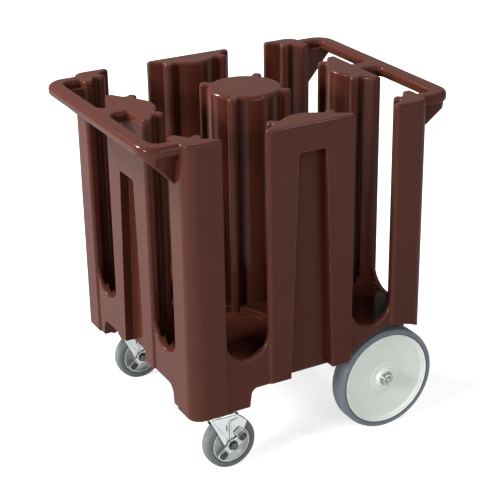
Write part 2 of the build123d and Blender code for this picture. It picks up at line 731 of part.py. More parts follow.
def make_fork(name, y):
    """Pressed fork: a crown with the lower race, and two tapered cheeks."""
    wheel_x = caster_x + caster_trail
    crown_bottom = fork_crown_top - fork_crown_thickness
    with BuildPart() as fork:
        with BuildSketch(Plane.XZ.offset(-y - fork_half_width)) as cheek:
            with BuildLine():
                Polyline(
                    (caster_x - fork_front, fork_crown_top),
                    (caster_x + fork_crown_tail, fork_crown_top),
                    (wheel_x + fork_tail_reach, caster_wheel_radius + fork_tail_height),
                    (wheel_x + fork_foot_radius, caster_wheel_radius),
                    (wheel_x, caster_wheel_radius - fork_foot_radius),
                    (wheel_x - fork_foot_radius, caster_wheel_radius - fork_foot_drop),
                    close=True,
                )
            make_face()
            tail = (wheel_x + fork_tail_reach, caster_wheel_radius + fork_tail_height)
            fillet(corners(cheek, [tail]), fork_tail_radius)
            with Locations((wheel_x, caster_wheel_radius)):
                Circle(fork_foot_radius)
            with Locations((caster_x + fork_slot_x, fork_slot_z)):
                SlotOverall(fork_slot_height, fork_slot_width, rotation=90, mode=Mode.SUBTRACT)
        extrude(amount=2 * fork_half_width)
        fillet(fork.faces().sort_by(Axis.Z)[-1].edges().filter_by(Axis.X), fork_bend_radius)
        with BuildSketch(Plane.XZ.offset(-y - fork_half_gap)):
            with Locations((wheel_x, crown_bottom / 2)):
                Rectangle(4 * caster_trail, crown_bottom)
        extrude(amount=2 * fork_half_gap, mode=Mode.SUBTRACT)
        panel_top = fork_crown_top - fork_bend_radius
        crease_x = caster_x + fork_crease_x
        for side in (-1, 1):
            with BuildSketch(Plane.XZ.offset(-y - side * fork_half_width)):
                with BuildLine():
                    Polyline(
                        (caster_x - fork_front + 2 * fork_panel_margin, panel_top),
                        (caster_x + fork_flange_reach, panel_top - fork_panel_margin),
                        (caster_x + fork_flange_reach, fork_flange_low),
                        (crease_x, fork_flange_low),
                        (crease_x, caster_wheel_radius + lever_boss_radius),
                        (wheel_x - fork_foot_drop, caster_wheel_radius + fork_foot_radius),
                        close=True,
                    )
                make_face()
                with Locations((caster_x + fork_slot_x, fork_slot_z)):
                    SlotOverall(fork_slot_height, fork_slot_width, rotation=90, mode=Mode.SUBTRACT)
            extrude(amount=-side * fork_panel_proud)
        with BuildSketch(Plane.XY.offset(fork_crown_top)):
            with Locations((caster_x, y)):
                Circle(race_radius - race_skirt_wall)
        extrude(amount=race_height)
        with BuildSketch(Plane.XY.offset(fork_crown_top)):
            with Locations((caster_x, y)):
                Circle(race_inner_radius)
        extrude(amount=race_height, mode=Mode.SUBTRACT)
        with BuildSketch(Plane.XY.offset(crown_bottom)):
            with Locations((caster_x, y)):
                Circle(kingpin_radius + running_fit)
        extrude(amount=fork_crown_thickness, mode=Mode.SUBTRACT)
        with BuildSketch(Plane.XZ.offset(-y - fork_half_width)):
            with Locations((wheel_x, caster_wheel_radius)):
                Circle(axle_bolt_radius + running_fit)
        extrude(amount=2 * fork_half_width, mode=Mode.SUBTRACT)
    save(fork, f"{name}_caster_fork")


def make_caster_wheel(name, y):
    """Hub, tyre and bearing sleeve of a caster's wheel."""
    plane = axial_plane(caster_x + caster_trail, y, caster_wheel_radius, 1)
    axis = Axis((caster_x + caster_trail, 0, caster_wheel_radius), (0, 1, 0))
    sleeve_half = fork_half_gap - seat_gap
    rim_inner = caster_hub_radius - caster_rim_thickness
    rim_half = caster_wheel_width / 2 - caster_rim_setback

    with BuildPart() as hub:
        with BuildSketch(plane):
            with BuildLine():
                Polyline(
                    (0, bearing_radius),
                    (sleeve_half, bearing_radius),
                    (sleeve_half, caster_boss_radius),
                    (caster_web_half, caster_boss_radius + caster_rim_setback),
                    (caster_web_half, rim_inner - caster_rim_setback),
                    (rim_half, rim_inner),
                    (rim_half, caster_hub_radius),
                    (0, caster_hub_radius),
                    close=True,
                )
            make_face()
            mirror(about=Plane.YZ)
        revolve(axis=axis)
    save(hub, f"{name}_caster_hub")

    with BuildPart() as tyre:
        with BuildSketch(plane) as section:
            with Locations((0, (caster_hub_radius + caster_wheel_radius) / 2)):
                Rectangle(caster_wheel_width, caster_wheel_radius - caster_hub_radius)
            shoulders = [(side * caster_wheel_width / 2, caster_wheel_radius) for side in (-1, 1)]
            fillet(corners(section, shoulders), caster_shoulder_radius)
        revolve(axis=axis)
    save(tyre, f"{name}_caster_tyre")

    with BuildPart() as sleeve:
        with BuildSketch(plane):
            wall = bearing_radius - axle_bolt_radius - running_fit
            with Locations((0, bearing_radius - wall / 2)):
                Rectangle(2 * sleeve_half, wall)
        revolve(axis=axis)
    save(sleeve, f"{name}_caster_bearing")


def make_axle_bolt(name, y):
    """Bolt through the fork, the bearing and the brake lever, with its washer and nut."""
    wheel_x = caster_x + caster_trail
    nut_back = fork_half_width + 2 * seat_gap + lever_thickness + axle_washer_thickness
    bolt_end = nut_back + axle_nut_height + axle_bolt_spare
    with BuildPart() as bolt:
        with BuildSketch(Plane.XZ.offset(-y - fork_half_width)):
            with Locations((wheel_x, caster_wheel_radius)):
                RegularPolygon(axle_bolt_head_radius, 6)
        extrude(amount=-axle_bolt_head_height)
        with BuildSketch(Plane.XZ.offset(-y - fork_half_width)):
            with Locations((wheel_x, caster_wheel_radius)):
                Circle(axle_bolt_radius)
        extrude(amount=fork_half_width + bolt_end)
    save(bolt, f"{name}_caster_axle_bolt")

    with BuildPart() as washer:
        with BuildSketch(Plane.XZ.offset(-y + nut_back - axle_washer_thickness)):
            with Locations((wheel_x, caster_wheel_radius)):
                Circle(axle_washer_radius)
                Circle(axle_bolt_radius + running_fit, mode=Mode.SUBTRACT)
        extrude(amount=axle_washer_thickness)
    save(washer, f"{name}_caster_axle_washer")

    with BuildPart() as nut:
        with BuildSketch(Plane.XZ.offset(-y + nut_back)):
            with Locations((wheel_x, caster_wheel_radius)):
                RegularPolygon(axle_nut_radius, 6)
                Circle(axle_bolt_radius + running_fit, mode=Mode.SUBTRACT)
        extrude(amount=axle_nut_height)
    save(nut, f"{name}_caster_axle_nut")


def make_brake(name, y):
    """Two-ended brake lever that rocks on the axle bolt, with its two rubber pads."""
    hinge = Location((caster_x + caster_trail, caster_wheel_radius), lever_angle)
    lever_length = lever_upper_reach + lever_lower_reach
    lever_face = fork_half_width + seat_gap + lever_thickness
    with BuildPart() as lever:
        with BuildSketch(Plane.XZ.offset(-y + fork_half_width + seat_gap)):
            with Locations(hinge):
                with Locations(((lever_upper_reach - lever_lower_reach) / 2, 0)):
                    RectangleRounded(lever_length, 2 * lever_half_width, lever_end_radius)
                with Locations((tread_along, tread_across)):
                    RectangleRounded(tread_length, tread_width, lever_end_radius)
                Circle(lever_boss_radius)
                Circle(axle_bolt_radius + running_fit, mode=Mode.SUBTRACT)
        extrude(amount=lever_thickness)
        with BuildSketch(Plane.XZ.offset(-y + lever_face)):
            with Locations(hinge):
                with Locations((tread_along, tread_rib_across)):
                    with GridLocations(rib_bar_pitch, 0, rib_count, 1):
                        SlotOverall(rib_bar_length, rib_bar_width, rotation=90)
        extrude(amount=rib_bar_proud)
    save(lever, f"{name}_caster_brake_lever")

    with BuildPart() as pads:
        margin = (2 * lever_half_width - pad_width) / 2
        upper = lever_upper_reach - margin - pad_length / 2
        lower = margin + pad_length / 2 - lever_lower_reach
        with BuildSketch(Plane.XZ.offset(-y + lever_face)):
            with Locations(hinge):
                with Locations((upper, 0), (lower, 0)):
                    RectangleRounded(pad_length, pad_width, pad_corner_radius)
        extrude(amount=pad_thickness)
        outer = pads.faces().group_by(Axis.Y)[0]
        fillet(outer.edges(), pad_edge_radius)
        with BuildSketch(Plane.XZ.offset(-y + lever_face + pad_thickness)):
            with Locations(hinge):
                with Locations((upper, 0), (lower, 0)):
                    with GridLocations(rib_bar_pitch, 0, rib_count, 1):
                        SlotOverall(rib_bar_length, rib_bar_width, rotation=90)
        extrude(amount=rib_bar_proud)
    save(pads, f"{name}_caster_brake_pads")


make_axle()
for wheel_name, wheel_side in (("front", -1), ("back", 1)):
    make_large_wheel(wheel_name, wheel_side)
for caster_name, caster_side in (("front", -1), ("back", 1)):
    centre_y = caster_side * caster_y
    make_caster_plate(caster_name, centre_y)
    make_plate_bolts(caster_name, centre_y)
    make_kingpin(caster_name, centre_y)
    make_swivel_balls(caster_name, centre_y)
    make_fork(caster_name, centre_y)
    make_caster_wheel(caster_name, centre_y)
    make_axle_bolt(caster_name, centre_y)
    make_brake(caster_name, centre_y)
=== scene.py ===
"""Plate dispenser cart: finishes, fine pieces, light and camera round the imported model."""
import json
import logging
import math
from dataclasses import dataclass, field
from enum import Enum
from typing import Callable, Sequence

import bmesh
import bpy
from mathutils import Matrix, Quaternion, Vector


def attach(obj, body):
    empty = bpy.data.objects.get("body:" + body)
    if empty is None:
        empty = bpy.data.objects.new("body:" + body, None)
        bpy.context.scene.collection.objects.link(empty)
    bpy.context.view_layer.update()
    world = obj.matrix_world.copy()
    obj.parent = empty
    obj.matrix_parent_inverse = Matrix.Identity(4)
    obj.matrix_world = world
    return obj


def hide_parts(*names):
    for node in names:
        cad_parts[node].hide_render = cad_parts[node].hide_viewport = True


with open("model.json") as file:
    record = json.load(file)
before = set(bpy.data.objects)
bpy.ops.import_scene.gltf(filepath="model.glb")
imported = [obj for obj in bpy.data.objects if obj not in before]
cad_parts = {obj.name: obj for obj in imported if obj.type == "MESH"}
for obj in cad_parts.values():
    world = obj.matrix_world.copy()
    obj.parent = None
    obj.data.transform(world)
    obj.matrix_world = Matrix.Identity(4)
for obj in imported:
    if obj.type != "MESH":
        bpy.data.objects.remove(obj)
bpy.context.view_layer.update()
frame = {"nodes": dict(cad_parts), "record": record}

PHOTO_PIXELS = 500
SENSOR_MM = 36.0
MM = 0.001
TINY = 1e-6

Colour = tuple[float, float, float]
Point = tuple[float, float, float]
Spot = tuple[float, float]
Socket = bpy.types.NodeSocket

log = logging.getLogger("plate_cart")


# ---------------------------------------------------------------- shader helpers


def srgb(hex_code: str) -> Colour:
    """Turn a colour written as six hex digits into linear red, green and blue.

    The numbers are those of the standard screen curve.

    Args:
        hex_code: The colour as it looks on a screen, such as "4d2b25".

    Returns:
        Linear red, green and blue.
    """
    values = [int(hex_code[i:i + 2], 16) / 255 for i in (0, 2, 4)]
    linear = [v / 12.92 if v <= 0.04045 else ((v + 0.055) / 1.055) ** 2.4 for v in values]
    return linear[0], linear[1], linear[2]


class Graph:
    """A node tree with short ways to add nodes and join them."""

    def __init__(self, tree: bpy.types.NodeTree) -> None:
        """Keep the tree that the nodes go into."""
        self.tree = tree

    def node(self, kind: str, inputs: dict | None = None, **settings: object) -> bpy.types.Node:
        """Add a node, set its properties and its input values or links.

        Args:
            kind: The node's type name.
            inputs: Input name or number to a value, or to the socket that feeds it.
            **settings: Properties of the node itself.

        Returns:
            The new node.
        """
        new = self.tree.nodes.new(kind)
        for name, value in settings.items():
            setattr(new, name, value)
        for key, value in (inputs or {}).items():
            socket = new.inputs[key]
            if isinstance(value, bpy.types.NodeSocket):
                self.tree.links.new(value, socket)
            elif isinstance(value, tuple) and socket.type == "RGBA" and len(value) == 3:
                socket.default_value = (*value, 1.0)
            else:
                socket.default_value = value
        return new

    def math(self, operation: str, first: object, second: object = 0.0, clamp: bool = False) -> Socket:
        """Add a Math node and return its result."""
        new = self.node("ShaderNodeMath", {0: first, 1: second}, operation=operation, use_clamp=clamp)
        return new.outputs[0]

    def mix_colour(self, factor: object, first: object, second: object) -> Socket:
        """Mix two colours and return the result."""
        new = self.node("ShaderNodeMix", {"Factor": factor, 6: first, 7: second}, data_type="RGBA")
        return new.outputs[2]

    def spread(
        self, value: object, low: float, high: float, to_low: float = 0.0, to_high: float = 1.0,
    ) -> Socket:
        """Map a value from one range to another, with the ends held.

        Args:
            value: The socket that is mapped.
            low: Start of its range.
            high: End of its range.
            to_low: What the start becomes.
            to_high: What the end becomes.

        Returns:
            The mapped value.
        """
        new = self.node(
            "ShaderNodeMapRange",
            {"Value": value, "From Min": low, "From Max": high, "To Min": to_low, "To Max": to_high},
        )
        return new.outputs[0]

    def noise(self, scale: object, detail: float, roughness: float = 0.5, vector: object = None) -> Socket:
        """Add noise that stays fixed to the piece.

        Args:
            scale: Patches per metre.
            detail: How many finer layers it has.
            roughness: Strength of the finer layers.
            vector: The coordinates, or nothing for the piece's own.

        Returns:
            The noise, from nought to one round a half.
        """
        if vector is None:
            vector = self.node("ShaderNodeTexCoord").outputs["Object"]
        new = self.node(
            "ShaderNodeTexNoise",
            {"Vector": vector, "Scale": scale, "Detail": detail, "Roughness": roughness},
        )
        return new.outputs["Fac"]


def make_group(
    name: str, inputs: Sequence[tuple[str, str, object]], outputs: Sequence[tuple[str, str]],
    fill: Callable[[Graph, bpy.types.Node, bpy.types.Node], None],
) -> bpy.types.NodeTree:
    """Make a shader node group once.

    Args:
        name: The group's name.
        inputs: Name, socket type and starting value of each input.
        outputs: Name and socket type of each output.
        fill: Adds the nodes between the group's input and output.

    Returns:
        The group.
    """
    tree = bpy.data.node_groups.new(name, "ShaderNodeTree")
    for label, kind, value in inputs:
        socket = tree.interface.new_socket(label, in_out="INPUT", socket_type=kind)
        socket.default_value = value
    for label, kind in outputs:
        tree.interface.new_socket(label, in_out="OUTPUT", socket_type=kind)
    graph = Graph(tree)
    entry = graph.node("NodeGroupInput")
    leave = graph.node("NodeGroupOutput")
    fill(graph, entry, leave)
    return tree


RUBBED_AND_HIGHLIT_COSINE = 0.86             # cosine of the turn at which an edge is fully rubbed and carries its full painted highlight
BREAK_NOISE = (0.38, 0.62)       # noise at which a break in the rubbing and painted highlight is deepest, and ends
BREAK_REST = 0.25                # share of the rubbing and painted highlight that is left in a break
CREVICE_SKY = (0.93, 0.5)        # share of open sky at which the painted crevice shade starts, and is full
CLOUD_NOISE = (0.7, 1.3)         # sum of both noises at the base colour, and at the cloud colour
FINE_CLOUDS = 9.0                # fine patches along one wide patch
WAVE_SHARE = 0.035               # slow waves of the moulded skin along one pebble
WAVE_HEIGHT = 6.0                # height of a wave in pebbles
MARK_NOISE = (0.35, 0.65)        # noise at which a drawn mark starts, and is full


def fill_edge_mask(graph: Graph, entry: bpy.types.Node, leave: bpy.types.Node) -> None:
    """Mark rubbed edges and painted edge highlights: white where the surface turns within the given radius,
    broken by noise.

    Args:
        graph: The group's tree.
        entry: Its input node, with Radius and Break Scale.
        leave: Its output node, with Mask.
    """
    bevel = graph.node("ShaderNodeBevel", {"Radius": entry.outputs["Radius"]}, samples=4)
    geometry = graph.node("ShaderNodeNewGeometry")
    turn = graph.node(
        "ShaderNodeVectorMath", {0: bevel.outputs[0], 1: geometry.outputs["Normal"]}, operation="DOT_PRODUCT"
    )
    edge = graph.spread(turn.outputs["Value"], 1.0, RUBBED_AND_HIGHLIT_COSINE)
    broken = graph.spread(graph.noise(entry.outputs["Break Scale"], 5.0), *BREAK_NOISE, BREAK_REST, 1.0)
    graph.tree.links.new(graph.math("MULTIPLY", edge, broken, clamp=True), leave.inputs["Mask"])


def fill_crevice(graph: Graph, entry: bpy.types.Node, leave: bpy.types.Node) -> None:
    """Mark crevices and joints for painted shade: white where other surfaces crowd within the given reach."""
    sky = graph.node("ShaderNodeAmbientOcclusion", {"Distance": entry.outputs["Reach"]}, samples=8)
    graph.tree.links.new(graph.spread(sky.outputs["AO"], *CREVICE_SKY), leave.inputs["Mask"])


def fill_mottle(graph: Graph, entry: bpy.types.Node, leave: bpy.types.Node) -> None:
    """Fill the group of cloudy patches at two scales.

    Args:
        graph: The group's tree.
        entry: Its input node, with Scale.
        leave: Its output node, with Patches from nought to one.
    """
    wide = graph.noise(entry.outputs["Scale"], 4.0)
    fine = graph.noise(graph.math("MULTIPLY", entry.outputs["Scale"], FINE_CLOUDS), 3.0)
    both = graph.math("ADD", wide, fine)
    graph.tree.links.new(graph.spread(both, *CLOUD_NOISE), leave.inputs["Patches"])


def fill_grain(graph: Graph, entry: bpy.types.Node, leave: bpy.types.Node) -> None:
    """Fill the group of fine pebbled skin over slightly rounded edges.

    Args:
        graph: The group's tree.
        entry: Its input node, with Scale, Strength, Depth and Soft Edge.
        leave: Its output node, with Normal.
    """
    pebble = graph.noise(entry.outputs["Scale"], 2.0, 0.45)
    wave = graph.noise(graph.math("MULTIPLY", entry.outputs["Scale"], WAVE_SHARE), 1.0)
    height = graph.math("ADD", pebble, graph.math("MULTIPLY", wave, WAVE_HEIGHT))
    soft_edge = graph.node("ShaderNodeBevel", {"Radius": entry.outputs["Soft Edge"]}, samples=6)
    bump = graph.node(
        "ShaderNodeBump",
        {"Height": height, "Strength": entry.outputs["Strength"], "Distance": entry.outputs["Depth"],
         "Normal": soft_edge.outputs["Normal"]},
    )
    graph.tree.links.new(bump.outputs["Normal"], leave.inputs["Normal"])


def fill_scratches(graph: Graph, entry: bpy.types.Node, leave: bpy.types.Node) -> None:
    """Fill the group of fine straight marks along one axis of the piece.

    Args:
        graph: The group's tree.
        entry: Its input node, with Scale and Stretch.
        leave: Its output node, with Marks from nought to one.
    """
    own = graph.node("ShaderNodeTexCoord").outputs["Object"]
    mapping = graph.node("ShaderNodeMapping", {"Vector": own, "Scale": entry.outputs["Stretch"]})
    marks = graph.noise(entry.outputs["Scale"], 6.0, 0.7, mapping.outputs["Vector"])
    graph.tree.links.new(graph.spread(marks, *MARK_NOISE), leave.inputs["Marks"])


@dataclass(frozen=True)
class Effects:
    """The shader groups that several finishes share.

    Attributes:
        edge: Rubbed edges and painted edge highlights.
        crevice: Painted shade in crevices.
        mottle: Cloudy patches.
        grain: Moulded grain.
        scratches: Drawn marks.
    """

    edge: bpy.types.NodeTree
    crevice: bpy.types.NodeTree
    mottle: bpy.types.NodeTree
    grain: bpy.types.NodeTree
    scratches: bpy.types.NodeTree

    @classmethod
    def build(cls) -> "Effects":
        """Make each shared group once.

        Returns:
            All the groups.
        """
        number, vector = "NodeSocketFloat", "NodeSocketVector"
        return cls(
            edge=make_group(
                "rubbed_and_highlit_edges", [("Radius", number, 0.003), ("Break Scale", number, 60.0)],
                [("Mask", number)], fill_edge_mask,
            ),
            crevice=make_group(
                "painted_shade_crevices", [("Reach", number, 0.005)], [("Mask", number)], fill_crevice,
            ),
            mottle=make_group("cloudy_patches", [("Scale", number, 6.0)], [("Patches", number)], fill_mottle),
            grain=make_group(
                "moulded_grain",
                [("Scale", number, 900.0), ("Strength", number, 0.2), ("Depth", number, 0.0004),
                 ("Soft Edge", number, 0.001)],
                [("Normal", vector)], fill_grain,
            ),
            scratches=make_group(
                "drawn_marks", [("Scale", number, 300.0), ("Stretch", vector, (1.0, 1.0, 1.0))],
                [("Marks", number)], fill_scratches,
            ),
        )


# ---------------------------------------------------------------- finishes


class Skin(Enum):
    """How a finish is put together."""

    MOULDED = "moulded"
    METAL = "metal"


@dataclass(frozen=True)
class Finish:
    """One finish of the cart: its colours, gloss, grain and wear, with painted edge highlights and painted
    shade in crevices.

    Attributes:
        name: Name of the material.
        slot: Slot of the record that it belongs to.
        skin: Moulded plastic or rubber, or metal.
        base: Colour of the clean surface.
        cloud: Colour that the cloudy patches lean to.
        worn_and_highlight: Colour of rubbed edges and of the painted highlight along edges.
        roughness: Least and greatest roughness over the patches.
        patch_scale: Patches per metre.
        grain_scale: Pebbles per metre.
        grain_strength: Strength of the pebbled skin.
        grain_depth: Height of the pebbles in metres.
        soft_edge: Radius of the rounded edges in metres.
        edge_radius: Width of the rubbed edges and their painted highlight in metres.
        edge_amount: How far the rubbed edges and their painted highlight show.
        crevice_shade: Colour of the painted shade in crevices and joints.
        crevice_shade_reach: How far the painted shade spreads from a crevice in metres.
        crevice_shade_amount: How far the painted shade shows.
        stretch: Stretch of drawn marks along X, Y and Z.
        specular: Specular level.
        coat: Weight of a clear gloss over the colour, which fades in crevices.
        coat_roughness: Roughness of that gloss.
    """

    name: str
    slot: str
    skin: Skin
    base: Colour
    cloud: Colour
    worn_and_highlight: Colour
    roughness: tuple[float, float]
    patch_scale: float = 6.0
    grain_scale: float = 900.0
    grain_strength: float = 0.2
    grain_depth: float = 0.0003
    soft_edge: float = 0.0004
    edge_radius: float = 0.0025
    edge_amount: float = 0.5
    crevice_shade: Colour = (0.01, 0.01, 0.01)
    crevice_shade_reach: float = 0.006
    crevice_shade_amount: float = 0.0
    stretch: Point = (1.0, 1.0, 1.0)
    specular: float = 0.5
    coat: float = 0.0
    coat_roughness: float = 0.16

    def build(self, effects: Effects) -> bpy.types.Material:
        """Make the material.

        Args:
            effects: The shared shader groups.

        Returns:
            The material.
        """
        material = bpy.data.materials.new(self.name)
        material.use_nodes = True
        links = material.node_tree.links
        graph = Graph(material.node_tree)
        surface = material.node_tree.nodes["Principled BSDF"]
        surface.inputs["Metallic"].default_value = 1.0 if self.skin is Skin.METAL else 0.0
        surface.inputs["Specular IOR Level"].default_value = self.specular
        surface.inputs["Coat Weight"].default_value = self.coat
        surface.inputs["Coat Roughness"].default_value = self.coat_roughness
        patches = graph.node("ShaderNodeGroup", {"Scale": self.patch_scale}, node_tree=effects.mottle)
        mask = patches.outputs["Patches"]
        if self.skin is Skin.METAL:
            marks = graph.node("ShaderNodeGroup", {"Stretch": self.stretch}, node_tree=effects.scratches)
            mask = graph.math("MULTIPLY", graph.math("ADD", mask, marks.outputs["Marks"]), 0.5)
        # Rubbed edges and painted edge highlights: where the surface turns, the worn colour is mixed in,
        # partly wear and partly a painted highlight along rounded rims.
        edges = graph.node("ShaderNodeGroup", {"Radius": self.edge_radius}, node_tree=effects.edge)
        rubbed_and_highlit = graph.math("MULTIPLY", edges.outputs["Mask"], self.edge_amount)
        colour = graph.mix_colour(rubbed_and_highlit, graph.mix_colour(mask, self.base, self.cloud), self.worn_and_highlight)
        # Painted shade: the crevice colour darkens crevices, joints and hollows where other surfaces crowd
        # in, and the clear gloss fades there too.
        if self.crevice_shade_amount > 0:
            crevices = graph.node("ShaderNodeGroup", {"Reach": self.crevice_shade_reach}, node_tree=effects.crevice)
            painted_shade = graph.math("MULTIPLY", crevices.outputs["Mask"], self.crevice_shade_amount)
            colour = graph.mix_colour(painted_shade, colour, self.crevice_shade)
            if self.coat > 0:
                gloss = graph.spread(crevices.outputs["Mask"], 0.0, 1.0, self.coat, 0.0)
                links.new(gloss, surface.inputs["Coat Weight"])
        grain = graph.node(
            "ShaderNodeGroup",
            {"Scale": self.grain_scale, "Strength": self.grain_strength, "Depth": self.grain_depth,
             "Soft Edge": self.soft_edge},
            node_tree=effects.grain,
        )
        links.new(colour, surface.inputs["Base Color"])
        links.new(graph.spread(mask, 0.0, 1.0, *self.roughness), surface.inputs["Roughness"])
        links.new(grain.outputs["Normal"], surface.inputs["Normal"])
        return material


# In every finish the worn colour paints both rubbed edges and a painted highlight along edges, and the
# crevice colour paints shade into crevices, joints and hollows.
FINISHES: tuple[Finish, ...] = (
    Finish(
        "brown_polyethylene", "brown_moulding", Skin.MOULDED,
        base=srgb("432018"), cloud=srgb("48231a"), worn_and_highlight=srgb("8a6258"), roughness=(0.4, 0.5),
        patch_scale=5.0, grain_scale=650.0, grain_strength=0.12, grain_depth=0.0002, soft_edge=0.0028,
        edge_radius=0.0035, edge_amount=0.55, specular=0.0, coat=0.21,
        crevice_shade=srgb("230d07"), crevice_shade_reach=0.12, crevice_shade_amount=0.25,
    ),
    # On the pale hubs the near-white worn colour, fully shown, paints the bright highlight ring along the
    # rim.
    Finish(
        "pale_hub_plastic", "wheel_hub_plastic", Skin.MOULDED,
        base=srgb("d8ddd7"), cloud=srgb("d4d9d3"), worn_and_highlight=srgb("fcfdfb"), roughness=(0.38, 0.5),
        patch_scale=9.0, grain_strength=0.05, edge_radius=0.0024, edge_amount=1.0,
        crevice_shade=srgb("5c5f5b"), crevice_shade_reach=0.0025, crevice_shade_amount=0.6,
    ),
    Finish(
        "blue_grey_tyre", "wheel_tyre_rubber", Skin.MOULDED,
        base=srgb("70757f"), cloud=srgb("656a74"), worn_and_highlight=srgb("8f939b"), roughness=(0.55, 0.72),
        patch_scale=14.0, grain_scale=1400.0, grain_strength=0.3, edge_amount=0.35, specular=0.35,
        crevice_shade=srgb("15181c"), crevice_shade_reach=0.0035, crevice_shade_amount=1.0,
    ),
    Finish(
        "grey_caster_tyre", "caster_tyre_rubber", Skin.MOULDED,
        base=srgb("565b5b"), cloud=srgb("606565"), worn_and_highlight=srgb("8a908e"), roughness=(0.5, 0.68),
        patch_scale=22.0, grain_scale=1400.0, grain_strength=0.3, edge_amount=0.35, specular=0.3,
        crevice_shade=srgb("1f2322"), crevice_shade_reach=0.0035, crevice_shade_amount=0.9,
    ),
    # On the caster hub too the near-white worn colour paints a bright highlight ring along the rim.
    Finish(
        "grey_caster_hub", "caster_hub_plastic", Skin.MOULDED,
        base=srgb("b2b6b2"), cloud=srgb("a0a4a0"), worn_and_highlight=srgb("fcfdfb"), roughness=(0.4, 0.52),
        patch_scale=22.0, grain_strength=0.06, edge_radius=0.0024, edge_amount=1.0,
        crevice_shade=srgb("3a3d39"), crevice_shade_reach=0.004, crevice_shade_amount=0.5,
    ),
    Finish(
        "natural_nylon", "bearing_plastic", Skin.MOULDED,
        base=srgb("dedcd2"), cloud=srgb("d3d0c5"), worn_and_highlight=srgb("eceae2"), roughness=(0.4, 0.5),
    ),
    Finish(
        "bright_zinc_plate", "bright_zinc", Skin.METAL,
        base=srgb("d8dbd8"), cloud=srgb("b4b8bc"), worn_and_highlight=srgb("ffffff"), roughness=(0.24, 0.4),
        patch_scale=30.0, grain_strength=0.06, stretch=(1.0, 1.0, 8.0), edge_radius=0.0014, edge_amount=1.0,
        crevice_shade=srgb("050606"), crevice_shade_reach=0.006, crevice_shade_amount=1.0,
    ),
    Finish(
        "dull_zinc_plate", "plated_steel", Skin.METAL,
        base=srgb("606366"), cloud=srgb("484b4e"), worn_and_highlight=srgb("c4c6c8"), roughness=(0.3, 0.46),
        patch_scale=40.0, grain_strength=0.08, edge_radius=0.0008, edge_amount=0.8,
        crevice_shade=srgb("0c0e0e"), crevice_shade_reach=0.005, crevice_shade_amount=0.95,
    ),
    Finish(
        "polished_cap", "bright_cap", Skin.METAL,
        base=srgb("b0b4b2"), cloud=srgb("909492"), worn_and_highlight=srgb("f8f8f8"), roughness=(0.12, 0.2),
        patch_scale=40.0, grain_strength=0.03, edge_radius=0.0007, edge_amount=0.8,
        crevice_shade=srgb("050707"), crevice_shade_reach=0.007, crevice_shade_amount=1.0,
    ),
    Finish(
        "black_pad_rubber", "pad_rubber", Skin.MOULDED,
        base=srgb("222423"), cloud=srgb("2e302f"), worn_and_highlight=srgb("8c8e8c"), roughness=(0.5, 0.65),
        patch_scale=60.0, grain_scale=2000.0, grain_strength=0.3, edge_radius=0.0006, edge_amount=0.8,
        crevice_shade=srgb("080908"), crevice_shade_reach=0.002, crevice_shade_amount=0.9,
    ),
)


class Paintbox:
    """Every finish, built once and handed out by the record's slot."""

    def __init__(self) -> None:
        """Build the shared groups and all the finishes."""
        effects = Effects.build()
        self.materials = {finish.slot: finish.build(effects) for finish in FINISHES}
        self.slot_of = {part["node"]: part["material_slot"] for part in frame["record"]["subparts"]}

    def dress(self, piece: bpy.types.Object, slot: str) -> None:
        """Give a piece one finish all over."""
        piece.data.materials.clear()
        piece.data.materials.append(self.materials[slot])

    def dress_node(self, name: str) -> None:
        """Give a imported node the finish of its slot."""
        self.dress(frame["nodes"][name], self.slot_of[name])
        log.info("dressed %s in %s", name, self.slot_of[name])


# ---------------------------------------------------------------- mesh helpers


CREASE_DEGREES = 35.0            # corners sharper than this stay sharp
RIM_DEGREES = 50.0               # corners sharper than this are a plate's rim
RIM_PROFILE = 0.6                # shape of a rounded rim, where a half is a round one
CORNER_SHARE = 0.45              # share of an edge that a rounded corner may take
LEAST_TANGENT = 0.05             # keeps the rounding of a straight corner finite
HEXAGON_STEPS = 48               # points round a nut or a head
SCREW_STEPS = 32                 # segments round a plate screw, and round the lever's hole
BOLT_STEPS = 40                  # segments round the axle bolt
WASHER_STEPS = 64                # segments round its washer
BOSS_STEPS = 7                   # segments of each side of the lever's boss
CHAMFER_SLOPE = 0.55             # rise of a chamfer to its depth at a nut's corners
BORE_CHAMFERS = (0.8, 0.5)       # millimetres at the outer and the inner end of a nut's hole


def mesh_object(name: str, build: bmesh.types.BMesh) -> bpy.types.Object:
    """Turn finished geometry into an object with smooth faces and sharp corners.

    Args:
        name: Name of the piece.
        build: The geometry, in metres. It is freed.

    Returns:
        The object, linked to the scene.
    """
    bmesh.ops.recalc_face_normals(build, faces=build.faces)
    mesh = bpy.data.meshes.new(name)
    build.to_mesh(mesh)
    build.free()
    mesh.polygons.foreach_set("use_smooth", [True] * len(mesh.polygons))
    mesh.set_sharp_from_angle(angle=math.radians(CREASE_DEGREES))
    piece = bpy.data.objects.new(name, mesh)
    bpy.context.scene.collection.objects.link(piece)
    return piece


def soften(points: Sequence[Spot], radius: float, steps: int = 4) -> list[Spot]:
    """Round every corner of a closed outline.

    Args:
        points: Corners in order.
        radius: Radius of the rounding, made smaller where an edge is short.
        steps: Segments of each rounded corner.

    Returns:
        The points of the rounded outline.
    """
    rounded = []
    for before, corner, after in zip(points[-1:] + points[:-1], points, points[1:] + points[:1]):
        here = Vector(corner)
        back, ahead = Vector(before) - here, Vector(after) - here
        half = back.angle(ahead) / 2
        longest = CORNER_SHARE * min(back.length, ahead.length)
        reach = min(radius / max(math.tan(half), LEAST_TANGENT), longest)
        start, end = here + back.normalized() * reach, here + ahead.normalized() * reach
        for step in range(steps + 1):
            t = step / steps
            spot = start * (1 - t) ** 2 + here * 2 * t * (1 - t) + end * t**2
            rounded.append((spot.x, spot.y))
    return rounded


